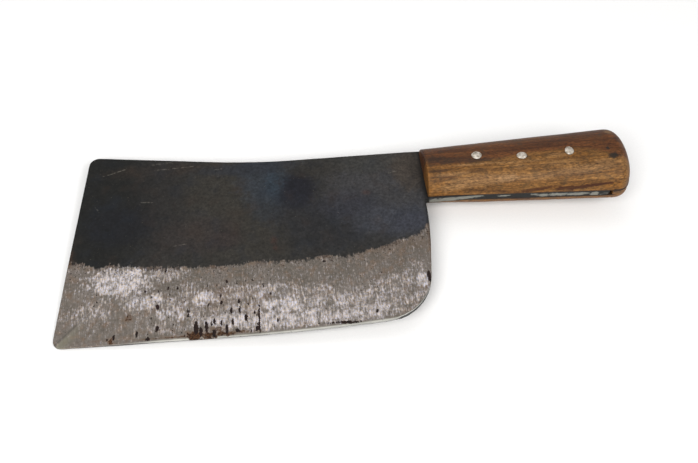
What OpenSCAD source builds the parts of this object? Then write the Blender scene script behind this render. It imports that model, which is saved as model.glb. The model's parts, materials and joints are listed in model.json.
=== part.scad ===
// Old hand-forged meat cleaver with a full tang between two wooden scales.
// The knife is worked out flat: X runs along the handle to its butt, from the handle's front end,
// Y runs to the spine, and Z comes out of the near side, with zero in the middle of the steel.
// Each piece is then laid down on its far side, as the knife rests on a table.

/* [Blade outline] */
// Length from the handle's front end to the lower corner of the toe
blade_l = 199; // [165:1:240]
// Depth of the cutting edge below the handle's axis at the toe
edge_depth = 91.3; // [75:0.1:112]
// Extra depth of the cutting edge at its belly
belly_drop = 1.8; // [0.5:0.1:4]
// Distance of the belly before the handle
belly_x = 70; // [60:1:95]
// Radius of the belly
belly_r = 1000; // [300:50:1200]
// Angle at which the cutting edge rises from the belly to the heel
heel_lift = 3.7; // [1:0.1:5]
// How far the spine stands above the scales at the front
spine_lip = 0.9; // [0:0.1:2]
// Angle at which the spine rises to the toe
spine_rise = 7.4; // [3:0.1:10]
// Distance of the spine's bend before the handle
spine_bend_x = 95; // [70:1:115]
// Radius of the spine's bend
spine_bend_r = 360; // [100:10:450]
// Angle at which the toe leans back to the spine
toe_lean = 6.2; // [1:0.1:10]
// Gap between the heel and the handle's front end
heel_gap = 1; // [0.5:0.1:4]
// Depth at which the heel bends back
heel_bend_y = 36.3; // [30:0.1:45]
// Radius of the heel's bend
heel_bend_r = 200; // [50:10:220]
// Angle at which the heel leans back below its bend
heel_lean = 6.7; // [3:0.1:9]
// Radius of the rounded lower corner of the heel
heel_r = 28; // [12:1:32]
// Radius of the lower corner of the toe
tip_r = 3; // [1:0.5:8]
// Radius of the upper corner of the toe
nose_r = 5; // [2:0.5:12]

/* [Blade section] */
// Thickness of the unground steel
blade_t = 4; // [3.2:0.1:5.5]
// Thickness of the steel behind the cutting bevel
bevel_t = 1.3; // [0.8:0.1:2]
// Thickness left at the cutting edge
edge_t = 0.3; // [0.2:0.05:0.6]
// Height of the ground band above the cutting edge
grind_h = 48; // [30:1:58]
// Height of the cutting bevel
bevel_h = 2; // [1:0.1:4]

/* [Tang] */
// How much thinner than the blade the tang is
tang_thinning = 0.2; // [0.1:0.1:1]
// Distance from the tang's end to where the butt starts to round
tang_stop = 2; // [1:0.5:20]
// How far the tang's lower edge stands below the scales at the front
tang_lip = 1.3; // [0:0.1:2]
// How far the tang's edges lie inside the scales' edges
tang_inset = 0.2; // [0:0.05:0.6]
// Radius of the tang's rear corners
tang_r = 3; // [1:0.5:8]
// Gap between the tang's end and the end of its slot
slot_gap = 0.5; // [0.2:0.1:2]

/* [Handle] */
// Overall length of the handle
handle_l = 117; // [97:1:142]
// Width of the handle at its front end
front_w = 31.6; // [28:0.2:36]
// Width of the handle where the butt starts to round
rear_w = 42.6; // [38:0.2:50]
// Thickness of the handle at its front end
front_h = 28; // [23:0.5:34]
// Thickness of the handle where the butt starts to round
rear_h = 29.8; // [25:0.1:38]
// Power of the oval section, 2 for an ellipse and more for a squarer one
section_power = 2.2; // [2:0.1:3]
// Length of the rounded butt
butt_l = 12; // [9:1:16]
// Power of the butt's rounding
butt_power = 2.5; // [2:0.1:3]
// Angle of the butt, which is longer at the spine's side
butt_skew = 0.4; // [0:0.2:6]
// Angle of the bevel across each scale's front end
front_bevel = 8; // [0:1:20]

/* [Rivets] */
// Distance of the front rivet from the handle's front end
front_rivet_x = 28.7; // [18:0.1:32]
// Distance of the rear rivet from the tang's end
rear_rivet_x = 22.7; // [12:0.1:26]
// Distance of the middle rivet behind the place halfway between the others
middle_rivet_x = -1; // [-6:0.1:6]
// Height of the front rivet above the handle's axis
front_rivet_y = 1.1; // [-4:0.1:4]
// Height of the middle rivet above the handle's axis
middle_rivet_y = -1.5; // [-4:0.1:4]
// Height of the rear rivet above the handle's axis
rear_rivet_y = -0.7; // [-4:0.1:4]
// Radius of the bores for the rivets
bore_r = 2; // [1.5:0.1:2.4]
// Gap between a rivet's shank and its bore
shank_gap = 0.04; // [0.02:0.01:0.1]
// Radius of a peened rivet head
head_r = 2.6; // [2.5:0.1:4]
// Gap between a rivet head and the side of its seat
seat_gap = 0.05; // [0.02:0.01:0.2]
// Depth of a head's seat in the wood
seat_depth = 0.8; // [0.4:0.1:2]
// Height of a head's crown above the wood
head_crown = 0.9; // [0.4:0.1:2]

/* [Hidden] */

arc_steps = 16;     // pieces of a rounded corner or bend
ring_steps = 40;    // pieces around a scale's section
body_rings = 3;     // rings along a scale before its butt
butt_rings = 9;     // rings along the rounded butt
butt_tip = 0.22;    // share of the section that is left at the butt's flat tip
crown_steps = 8;    // pieces of a rivet head's crown
round_fn = 48;      // smoothness of bores, seats and rivets
overrun = 1;        // how far a cutting body or a joined one reaches past its face

tang_t = blade_t - tang_thinning;
inner_z = tang_t / 2;
body_l = handle_l - butt_l;
tang_l = body_l - tang_stop;

// Unit vector at an angle
function heading(a) = [cos(a), sin(a)];

// Place where a line from p at angle a meets a line from q at angle b
function crossing(p, a, q, b) =
    p + heading(a) * ((q - p).x * sin(b) - (q - p).y * cos(b)) / sin(b - a);

// Points of an arc of radius r that rounds the corner c between its neighbours a and b
function arc(a, c, b, r) =
    let (
        u = (a - c) / norm(a - c),
        v = (b - c) / norm(b - c),
        half = acos(u * v) / 2,
        centre = c + (u + v) / norm(u + v) * r / sin(half),
        start = c + u * r / tan(half) - centre,
        turn = (180 - 2 * half) * sign(u.x * v.y - u.y * v.x)
    )
    [for (i = [0:arc_steps])
        let (d = -turn * i / arc_steps)
        centre + [start.x * cos(d) - start.y * sin(d), start.x * sin(d) + start.y * cos(d)]];

// Outline through a list of corners, each [x, y, radius], where no radius leaves a sharp corner
function outline(corners) =
    let (n = len(corners), at = function (i) [corners[i % n].x, corners[i % n].y])
    [for (i = [0:n - 1])
        each corners[i].z > 0 ? arc(at(i + n - 1), at(i), at(i + 1), corners[i].z) : [at(i)]];

// Half the handle's width and half its thickness at x
function half_w(x) = (front_w + (rear_w - front_w) * min(x, body_l) / body_l) / 2;
function half_h(x) = (front_h + (rear_h - front_h) * min(x, body_l) / body_l) / 2;

// Height of the wood's surface above the middle of the steel at x, y
function wood_z(x, y) =
    half_h(x) * pow(1 - pow(abs(y) / half_w(x), section_power), 1 / section_power);

// Corners of the blade
tip = [-blade_l, -edge_depth];
belly = [-belly_x, -edge_depth - belly_drop];
spine_h = half_w(0) + spine_lip;
tang_low = -half_w(0) - tang_lip;
heel_bend = [-heel_gap, -heel_bend_y];
heel_foot = crossing(heel_bend, 270 - heel_lean, belly, heel_lift);
spine_bend = [-spine_bend_x, spine_h];
nose = crossing(tip, 90 - toe_lean, spine_bend, 180 - spine_rise);
blade_outline = outline([
    [0, spine_h, 0],
    [spine_bend.x, spine_bend.y, spine_bend_r],
    [nose.x, nose.y, nose_r],
    [tip.x, tip.y, tip_r],
    [belly.x, belly.y, belly_r],
    [heel_foot.x, heel_foot.y, heel_r],
    [heel_bend.x, heel_bend.y, heel_bend_r],
    [-heel_gap, tang_low, 0],
    [0, tang_low, 0]
]);

// Where the flare of the scales reaches an edge of the tang that stands out of them by lip
function flush_x(lip) = (lip + tang_inset) * 2 * body_l / (rear_w - front_w);

// Corners of the tang, whose edges run straight and then follow the flare
tang_half = half_w(tang_l) - tang_inset;
tang_outline = outline([
    [-overrun, spine_h, 0],
    [-overrun, tang_low, 0],
    [flush_x(tang_lip), tang_low, 0],
    [tang_l, -tang_half, tang_r],
    [tang_l, tang_half, tang_r],
    [flush_x(spine_lip), spine_h, 0]
]);

// Section across the blade, from the spine down to the cutting edge
edge_y = min([for (p = blade_outline) p.y]);
section_half = [
    [nose.y + overrun, blade_t / 2],
    [edge_y + grind_h, blade_t / 2],
    [edge_y + bevel_h, bevel_t / 2],
    [edge_y, edge_t / 2]
];
blade_section = concat(section_half, [for (i = [3:-1:0]) [section_half[i].x, -section_half[i].y]]);

// Places of the rivets along and across the handle
front_rivet_at = [front_rivet_x, front_rivet_y];
rear_rivet_at = [tang_l - rear_rivet_x, rear_rivet_y];
middle_rivet_at = [(front_rivet_at.x + rear_rivet_at.x) / 2 + middle_rivet_x, middle_rivet_y];
rivet_places = [front_rivet_at, middle_rivet_at, rear_rivet_at];

// One point of the handle's section at angle a, with a share f of the full section at x
function section_point(x, f, a) = [
    x,
    f * half_w(x) * sign(cos(a)) * pow(abs(cos(a)), 2 / section_power),
    f * half_h(x) * sign(sin(a)) * pow(abs(sin(a)), 2 / section_power)
];

// Angle at which the section meets the plane between the two scales
function seam_angle(x, f) = asin(pow(inner_z / (f * half_h(x)), section_power / 2));

// Ring of points around one scale, from one side of the seam to the other
function scale_ring(x, f, far, skew) =
    let (
        s = seam_angle(x, f),
        from = far ? 180 - s : s,
        to = far ? 360 + s : 180 - s
    )
    [for (i = [0:ring_steps])
        let (p = section_point(min(x, body_l), f, from + (to - from) * i / ring_steps))
        [x + p.y * tan(skew), p.y, p.z]];

// All rings of one scale, from the front end to the tip of the butt
function scale_rings(far) =
    let (last = acos(pow(butt_tip, butt_power / 2)))
    concat(
        [for (i = [0:body_rings - 1]) scale_ring(body_l * i / body_rings, 1, far, 0)],
        [for (i = [0:butt_rings])
            let (t = last * i / butt_rings)
            scale_ring(body_l + butt_l * pow(sin(t), 2 / butt_power),
                       pow(cos(t), 2 / butt_power), far, butt_skew)]
    );

// Solid that joins a list of rings with equal counts of points
module loft(rings) {
    n = len(rings[0]);
    last = len(rings) - 1;
    sides = [for (r = [0:last - 1]) for (i = [0:n - 1])
        let (a = r * n + i, b = r * n + (i + 1) % n)
        each [[a, a + n, b], [b, a + n, b + n]]];
    ends = [[for (i = [0:n - 1]) i], [for (i = [n - 1:-1:0]) last * n + i]];
    polyhedron(points = [for (ring = rings) each ring], faces = concat(sides, ends));
}

// Block that cuts the bevel across the front end of the near or the far scale
module bevel_cut(side) {
    translate([0, 0, side * inner_z])
        rotate([0, side * front_bevel, 0])
            translate([-rear_h, -rear_w, -rear_h])
                cube([rear_h, 2 * rear_w, 2 * rear_h]);
}

// Bores for the three rivets through a piece, and the seats of their heads in the wood
module rivet_cuts() {
    for (p = rivet_places) {
        floor_z = wood_z(p.x, p.y) - seat_depth;
        translate([p.x, p.y, -rear_h])
            cylinder(r = bore_r, h = 2 * rear_h, $fn = round_fn);
        for (turn = [0, 180])
            translate([p.x, p.y, 0])
                rotate([turn, 0, 0])
                    translate([0, 0, floor_z])
                        cylinder(r = head_r + seat_gap, h = rear_h, $fn = round_fn);
    }
}

// Lowest places of the handle's far side: the rim of its front end, and the crowns of the rivets
rim_x = (half_h(0) - inner_z) * tan(front_bevel);
handle_places = concat(
    [[rim_x, 0, -wood_z(rim_x, 0)]],
    [for (p = rivet_places) [p.x, p.y, -wood_z(p.x, p.y) - head_crown]]
);
handle_slopes = [for (p = handle_places) (-p.z - blade_t / 2) / (p.x + blade_l)];

// Place on the far side of the toe's edge at y
function toe_place(y) = [crossing(tip, 90 - toe_lean, [0, y], 0).x, y, -lookup(y, section_half)];

// Three places on which the knife lies: one under the handle, and the ends of the toe's ground part
rest_a = handle_places[search(max(handle_slopes), handle_slopes)[0]];
rest_b = toe_place(edge_y + grind_h);
rest_c = toe_place(tip.y + tip_r);

// Turn that brings the plane through those places level, and the level that it comes to
rest_normal = cross(rest_c - rest_a, rest_b - rest_a);
rest_up = rest_normal / norm(rest_normal) * sign(rest_normal.z);
lie_angle = acos(rest_up.z);
lie_axis = cross(rest_up, [0, 0, 1]) / sin(lie_angle);
rest_level = rest_up * rest_a;

// A point after that turn
function turned(p) =
    p * cos(lie_angle) + cross(lie_axis, p) * sin(lie_angle)
    + lie_axis * (lie_axis * p) * (1 - cos(lie_angle));

// Middle of the turned knife's outer box
skin = concat(
    [for (p = blade_outline) for (s = [-1, 1]) turned([p.x, p.y, s * lookup(p.y, section_half)])],
    [for (far = [false, true]) for (ring = scale_rings(far)) for (p = ring) turned(p)]
);
skin_x = [for (p = skin) p.x];
skin_y = [for (p = skin) p.y];
middle = [min(skin_x) + max(skin_x), min(skin_y) + max(skin_y)] / 2;

// Lays a piece down with the knife, around the origin on the table
module laid() {
    translate([-middle.x, -middle.y, -rest_level])
        rotate(a = lie_angle, v = lie_axis)
            children();
}

// Turned profile of one end of a rivet: half the shank, the head in its seat and its crown
module rivet_end(p) {
    floor_z = wood_z(p.x, p.y) - seat_depth;
    crown_r = (head_r * head_r + head_crown * head_crown) / (2 * head_crown);
    crown_angle = asin(head_r / crown_r);
    crown_base = floor_z + seat_depth + head_crown - crown_r;
    rotate_extrude($fn = round_fn)
        polygon(concat(
            [[0, 0], [bore_r - shank_gap, 0], [bore_r - shank_gap, floor_z], [head_r, floor_z]],
            [for (i = [crown_steps:-1:0])
                let (a = crown_angle * i / crown_steps)
                [crown_r * sin(a), crown_base + crown_r * cos(a)]]
        ));
}

module rivet(p) {
    color("gainsboro")
        laid()
            translate([p.x, p.y, 0])
                for (turn = [0, 180])
                    rotate([turn, 0, 0])
                        rivet_end(p);
}

module blade() {
    color("dimgray")
        laid()
            difference() {
                union() {
                    intersection() {
                        linear_extrude(height = blade_t, center = true)
                            polygon(blade_outline);
                        translate([-blade_l - overrun, 0, 0])
                            rotate([90, 0, 90])
                                linear_extrude(height = blade_l + 2 * overrun)
                                    polygon(blade_section);
                    }
                    linear_extrude(height = tang_t, center = true)
                        polygon(tang_outline);
                }
                rivet_cuts();
            }
}

module near_scale() {
    color("peru")
        laid()
            difference() {
                loft(scale_rings(false));
                bevel_cut(1);
                rivet_cuts();
            }
}

module far_scale() {
    color("peru")
        laid()
            difference() {
                loft(scale_rings(true));
                bevel_cut(-1);
                translate([-overrun, -rear_w, -inner_z])
                    cube([overrun + tang_l + slot_gap, 2 * rear_w, tang_t + overrun]);
                rivet_cuts();
            }
}

module front_rivet() {
    rivet(front_rivet_at);
}

module middle_rivet() {
    rivet(middle_rivet_at);
}

module rear_rivet() {
    rivet(rear_rivet_at);
}

blade();
near_scale();
far_scale();
front_rivet();
middle_rivet();
rear_rivet();
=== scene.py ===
# Old hand-forged cleaver on its side on a pale table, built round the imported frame
import json
import math
import random
import bmesh
import bpy
import numpy as np
from mathutils import Matrix, Vector, kdtree, noise
from mathutils.geometry import delaunay_2d_cdt


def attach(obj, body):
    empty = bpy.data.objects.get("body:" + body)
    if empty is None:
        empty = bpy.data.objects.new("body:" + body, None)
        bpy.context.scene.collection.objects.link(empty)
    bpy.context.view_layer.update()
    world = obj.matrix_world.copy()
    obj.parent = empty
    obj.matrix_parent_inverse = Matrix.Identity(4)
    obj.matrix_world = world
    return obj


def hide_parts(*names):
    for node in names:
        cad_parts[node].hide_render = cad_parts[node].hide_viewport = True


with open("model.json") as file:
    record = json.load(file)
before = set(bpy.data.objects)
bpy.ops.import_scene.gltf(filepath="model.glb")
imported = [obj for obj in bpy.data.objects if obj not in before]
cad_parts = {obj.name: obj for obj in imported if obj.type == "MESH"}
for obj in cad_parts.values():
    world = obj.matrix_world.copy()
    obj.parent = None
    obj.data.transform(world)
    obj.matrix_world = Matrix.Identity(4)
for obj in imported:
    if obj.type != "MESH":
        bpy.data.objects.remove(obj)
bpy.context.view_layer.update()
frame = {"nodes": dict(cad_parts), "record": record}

print("frame loaded:", ", ".join(sorted(frame["nodes"])))

mm = 0.001  # one millimetre in Blender's metres

# The knife is drawn flat, in mm: x along the handle to its butt, y to the spine, z out of the near side.
# One of the record's mounts says how that drawing lies on the table.
lie = {"mount": "near_side", "mountAt": (-90.0, -10.0, 2.0)}
mount = next(m for m in frame["record"]["mounts"] if m["name"] == lie["mount"])
lieTurn = Vector((0, 0, 1)).rotation_difference(Vector(mount["axis"])).to_matrix()
knifeToRow = (Matrix.Translation(mount["pos_m"]) @ lieTurn.to_4x4() @ Matrix.Scale(mm, 4)
              @ Matrix.Translation(-Vector(lie["mountAt"])))


def linear(hexCode):  # sRGB hex to Blender's linear colour
    parts = [int(hexCode[i:i + 2], 16) / 255 for i in (1, 3, 5)]
    return [c / 12.92 if c <= 0.04045 else ((c + 0.055) / 1.055) ** 2.4 for c in parts] + [1.0]


def put(tree, kind, settings={}, links={}):  # adds a node and gives back its first output in use
    made = tree.nodes.new(kind)
    for name, value in settings.items():
        if name == "stops":  # places and hex colours along a colour ramp, which comes with two stops
            ramp = made.color_ramp.elements
            for place, hexCode in value[1:-1]:
                ramp.new(place).color = linear(hexCode)
            for stop, (place, hexCode) in ((ramp[0], value[0]), (ramp[-1], value[-1])):
                stop.position, stop.color = place, linear(hexCode)
        else:
            setattr(made, name, value)
    for name, value in links.items():
        socket = made.inputs[name] if isinstance(name, int) else next(
            s for s in made.inputs if s.name == name and s.enabled)
        if isinstance(value, bpy.types.NodeSocket):
            tree.links.new(value, socket)
        else:
            socket.default_value = value
    return next((s for s in made.outputs if s.enabled), None)


def softStep(value, low, high):
    t = np.clip((value - low) / (high - low), 0, 1)
    return t * t * (3 - 2 * t)


def noiseAt(points, size, seed=0.0):  # smooth noise from -1 to 1 at knife points, size in mm
    scale = np.broadcast_to(1 / np.array(size, float), (3,))
    return np.array([noise.noise(Vector((p[0], p[1], p[2] + seed))) for p in points * scale])


def blobs(points, marks, seed=0.0, ragged=0.25):  # 0 to 1 round each mark (x, y, width, length, strength)
    made = np.zeros(len(points))
    wobble = 1 + ragged * noiseAt(points, 1.3, seed)
    for x, y, width, length, strength in marks:
        far = np.hypot((points[:, 0] - x) / width * 2, (points[:, 1] - y) / length * 2) * wobble
        made = np.maximum(made, strength * (1 - softStep(far, 0.55, 1.35)))
    return made


def meshPiece(name, points, faces, material):  # points in knife mm
    mesh = bpy.data.meshes.new(name)
    mesh.from_pydata([tuple(p) for p in points], [], faces)
    mesh.transform(knifeToRow)
    mesh.materials.append(material)
    mesh.polygons.foreach_set("use_smooth", [True] * len(mesh.polygons))
    piece = bpy.data.objects.new(name, mesh)
    bpy.context.scene.collection.objects.link(piece)
    return piece


def paint(piece, name, values):  # one number per vertex for the material to read
    attribute = piece.data.attributes.new(name, "FLOAT", "POINT")
    attribute.data.foreach_set("value", np.asarray(values, np.float32))


def knifePoints(mesh):  # a row-frame mesh's vertices, back in knife mm
    flat = np.empty(len(mesh.vertices) * 3)
    mesh.vertices.foreach_get("co", flat)
    back = np.array(knifeToRow.inverted())
    return flat.reshape(-1, 3) @ back[:3, :3].T + back[:3, 3]


def newMaterial(name):
    material = bpy.data.materials.new(name)
    material.use_nodes = True
    material.node_tree.nodes.clear()
    return material, material.node_tree


def knifePatterns(tree, marks, patterns):
    # what each of the knife's materials starts from: its place in the drawing's mm, painted marks and noises
    place = put(tree, "ShaderNodeTexCoord").node.outputs["Object"]
    where = put(tree, "ShaderNodeMapping", {"vector_type": "TEXTURE"}, {
        "Vector": place, "Location": knifeToRow.translation, "Rotation": lieTurn.to_euler(),
        "Scale": (mm, mm, mm)})
    read = {name: put(tree, "ShaderNodeAttribute", {"attribute_name": name}).node.outputs["Fac"]
            for name in marks}
    noises = []
    for size, turn, detail, roughness, distortion in patterns.values():
        sized = put(tree, "ShaderNodeMapping", links={
            "Vector": where, "Rotation": [math.radians(a) for a in turn], "Scale": [1 / s for s in size]})
        noises.append(put(tree, "ShaderNodeTexNoise", links={
            "Vector": sized, "Scale": 1.0, "Detail": detail, "Roughness": roughness,
            "Distortion": distortion}))
    return where, read, noises


# Camera, light and table

view = {
    "lens": 50.0, "sensor": 36.0,
    "target": (-44.9, -33.6, 0.0),  # what the middle of the picture shows, in knife mm
    "distance": 523.9,
    "lean": 34.57,  # degrees away from square to the blade, towards the cutting edge
    "roll": 5.3,
}


def makeCamera():
    lean, roll = math.radians(view["lean"]), math.radians(view["roll"])
    right = Vector((math.cos(roll), -math.sin(roll), 0))
    upPicture = Vector((math.sin(roll), math.cos(roll), 0))
    target = Vector(view["target"])
    eye = target + view["distance"] * (Vector((0, 0, 1)) * math.cos(lean) - upPicture * math.sin(lean))
    back = (eye - target).normalized()
    turn = lieTurn @ Matrix((right, back.cross(right), back)).transposed()
    data = bpy.data.cameras.new("photoCamera")
    data.lens, data.sensor_width = view["lens"], view["sensor"]
    data.clip_start, data.clip_end = 0.01, 20
    camera = bpy.data.objects.new("photoCamera", data)
    camera.matrix_world = Matrix.Translation(knifeToRow @ eye) @ turn.to_4x4()
    bpy.context.scene.collection.objects.link(camera)
    bpy.context.scene.camera = camera


studio = {
    "sky": "#f1f2f5", "skyStrength": 0.5,
    "floor": "#e9e8e6", "floorGrain": "#efeeec", "floorSize": 4.0,
    "lamps": [  # name, place and size in metres, watts
        ("softboxLeft", (-0.55, -0.75, 0.95), 0.8, 12.0),
        ("softboxRight", (0.65, -0.65, 0.9), 0.7, 8.0),
        ("softboxBack", (-0.26, 0.74, 1.17), 1.4, 4.5),  # where the ground steel mirrors it to the camera
    ],
}


def makeStudio():
    world = bpy.data.worlds.new("paleRoom")
    bpy.context.scene.world = world
    world.use_nodes = True
    background = world.node_tree.nodes["Background"]
    background.inputs["Color"].default_value = linear(studio["sky"])
    background.inputs["Strength"].default_value = studio["skyStrength"]
    for name, stand, size, watts in studio["lamps"]:
        data = bpy.data.lights.new(name, "AREA")
        data.shape, data.size, data.energy = "DISK", size, watts
        lamp = bpy.data.objects.new(name, data)
        lamp.location = stand
        lamp.rotation_euler = Vector(stand).to_track_quat("Z", "Y").to_euler()
        bpy.context.scene.collection.objects.link(lamp)
    material, tree = newMaterial("matPaper")  # pale seamless paper: even, without gloss
    place = put(tree, "ShaderNodeTexCoord").node.outputs["Object"]
    grain = put(tree, "ShaderNodeTexNoise", links={"Vector": place, "Scale": 900.0, "Detail": 2.0})  # 1.1 mm
    tone = put(tree, "ShaderNodeMix", {"data_type": "RGBA"}, {
        "Factor": grain, "A": linear(studio["floor"]), "B": linear(studio["floorGrain"])})
    shader = put(tree, "ShaderNodeBsdfPrincipled", links={"Base Color": tone, "Roughness": 0.9})
    put(tree, "ShaderNodeOutputMaterial", links={"Surface": shader})
    half = studio["floorSize"] / 2
    corners = [(-half, -half, 0), (half, -half, 0), (half, half, 0), (-half, half, 0)]
    mesh = bpy.data.meshes.new("table")
    mesh.from_pydata(corners, [], [(0, 1, 2, 3)])
    mesh.materials.append(material)
    table = bpy.data.objects.new("table", mesh)
    bpy.context.scene.collection.objects.link(table)


makeCamera()
makeStudio()
bpy.context.scene.view_settings.view_transform = "Standard"
print("camera, light and table are set")


# Blade

blade = {
    "thickness": 4.0, "tangThickness": 3.8, "bevelThickness": 1.3, "edgeThickness": 0.3,
    "grindHeight": 48.0, "bevelHeight": 2.0,
    "stiffHeight": 4.0, "stiffHalf": (0.55, 0.72),  # least half thickness at the edge and this far above it
    "tangStep": (-1.5, -0.7),  # where the blade steps down to the tang
    "wornRadius": 0.25,  # of the corners along spine, toe, heel and tang
    "rings": (0.0, 0.06, 0.2, 0.4, 0.7, 1.2, 1.9, 2.7),  # distances from the outline of the mesh's own rings
    "outlineStep": 0.8, "fineStep": 0.62, "coarseStep": 1.4,
    "fineMargin": 4.0,  # how far the fine mesh reaches above the ground band
    "boreMargin": 0.6,  # how far the inner points stay off the bores
    "wallRows": (0.06, 0.28, 0.5, 0.72, 0.94),  # shares of the way from the near to the far side
    "hammerSize": 24.0, "hammerDepth": 0.09, "strokeSize": (5.0, 30.0, 5.0), "strokeDepth": 0.02,
    "wobble": 0.06,  # how far hand work leaves the outline off true
    "spineGrowth": 0.2, "toeGrowth": 0.3,  # the photo's spine and toe stand this far outside the drawing
    "toeFade": (100, 150),  # distances from the handle over which the toe's growth fades in
    "heelFade": (2, 8),  # and those over which every change of the outline does
    "bevelWidth": [  # at x
        (-178, 0.0), (-165, 0.6), (-145, 1.5), (-100, 1.4), (-70, 1.8), (-34, 1.9), (-10, 1.5)],
    "bevelFull": 1.6,  # a narrower bevel is shallower
    "cornerDrop": 0.14, "cornerHalf": 1.5,  # the bevel's cut and the half thickness round the heel's corner
    "cornerFade": (-36, -26), "cornerSlope": 0.06,
    "toeCrease": ((-197.9, -89.6), (-185.3, -76.6)), "toeSlope": 0.02, "toeReach": 20.0,
    # the corner between toe and edge is worn rounder
    "toeCorner": (-199.0, -91.0), "toeTrim": 0.9, "toeTrimSize": 5.5,
    # small pits at random: how many, from and to x and y, their widths and lengths
    "specks": [
        (150, (-150, -90), (-86, -60), (0.4, 0.9), (0.6, 2.2)),
        (90, (-196, -88), (-6, -46), (0.4, 0.8), (0.5, 1.3)),
    ],
    "pitDepth": 0.08, "scaleDepth": 0.03,  # the scale stands this far over the ground band
    "seed": 7,
}

# Lower border of the black forge scale, from toe to heel, in mm
forgeLine = [
    (-200, -39.5), (-190, -43), (-177, -46.5), (-168, -45.6), (-163, -45.6), (-155, -49), (-135, -50),
    (-118, -51.2), (-100, -50.2), (-80, -51.2), (-60, -50), (-46, -50.4), (-35, -48), (-25, -45.8),
    (-15, -42.4), (-9, -40.6), (-4, -37), (0, -30),
]

# Pits and black stains on the near side: x, y, width, length, strength
nearPits = [
    (-127.4, -86, 2.4, 7.6, 1), (-124.9, -88, 1.8, 5.5, 1), (-122, -85.4, 2, 7, 1), (-118, -83, 1.7, 4, 1),
    (-118.2, -89.6, 1.9, 4.2, 1), (-114.5, -84, 0.9, 3.6, 0.9), (-111.8, -87.6, 1.4, 5.2, 1),
    (-108.7, -84, 1.4, 5.2, 1), (-106.5, -89, 1.8, 2.9, 1), (-102, -82.3, 1.6, 5.5, 1),
    (-97.5, -79.5, 1.1, 2.1, 1), (-95.2, -83.5, 1.1, 16, 1), (-96.5, -88.8, 2, 3.2, 1),
    (-99.4, -89.9, 1, 1.8, 1), (-104.9, -77.6, 1.2, 6.2, 1), (-105.3, -72.4, 1.3, 3.4, 1),
    (-109.4, -77.5, 1.6, 3.8, 0.9), (-114.3, -72.4, 1.3, 2.6, 0.9), (-111.2, -60.1, 1, 2.6, 0.9),
    (-114.6, -68.5, 0.9, 2.2, 0.9), (-131, -78.2, 1, 2, 0.9), (-131.5, -75.2, 1, 3, 0.8),
    (-146.8, -72.2, 2, 3.6, 1), (-146.9, -84.5, 1.6, 3.6, 1), (-157, -86.8, 1, 3.8, 1),
    (-151.5, -89.8, 2.4, 2.2, 1), (-168.6, -87.6, 1.4, 3, 0.9), (-171.8, -88.8, 1, 1.6, 0.9),
    (-153.3, -62.5, 1.3, 2, 0.8), (-145, -62.7, 1, 1.6, 0.8), (-141.5, -61.6, 1.3, 2.2, 0.7),
    (-136.7, -62, 1.3, 2.2, 0.7), (-142.8, -50.6, 1.3, 3, 0.8), (-53.5, -89.2, 21, 0.9, 0.8),
    (-49, -89.6, 12, 1.6, 0.8), (-5.7, -66.5, 1.6, 7, 1.3), (-35, -84.6, 1.4, 2.4, 0.8),
    (-65.5, -88.8, 1.2, 1.1, 0.9), (-30.5, -62, 1.2, 1.2, 0.9), (-86, -85, 1, 2.8, 0.9),
    (-60, -52.5, 3, 1.1, 0.7),
]

# Rust on the near side, in the same way
nearRust = [
    (-127.5, -90.6, 9, 5, 1.2), (-120.5, -91, 9, 4.4, 1.15), (-113, -90.7, 12, 2.6, 1),
    (-131, -89.8, 3, 4, 0.9), (-137, -90.2, 16, 1.5, 0.9), (-149, -90, 14, 1.1, 0.7),
    (-104, -90, 9, 1.6, 0.8), (-117, -87.5, 10, 3, 0.7), (-170, -90, 2.6, 3, 1), (-168.8, -88.2, 2, 3, 0.8),
    (-161.3, -77.5, 5.2, 4.6, 0.75), (-147.8, -73, 4.5, 3, 0.5), (-91.8, -71, 5.5, 4, 0.4),
    (-176, -89, 8, 1.4, 0.5), (-173, -80.4, 4, 2.6, 0.45), (-120, -70, 26, 12, 0.35),
    (-196, -42, 9, 8, 0.75), (-136, -74, 5, 4, 0.45), (-2, -50, 3, 36, 0.6), (-167.4, -61.6, 4, 6, 0.4),
    (-112, -66, 10, 5, 0.5), (-30, -47, 40, 8, 0.3), (-102, -68, 12, 8, 0.4), (-10, -45, 16, 8, 0.3),
    (-72, -88, 6, 2, 0.5), (-98, -76, 10, 10, 0.4),
]

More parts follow.
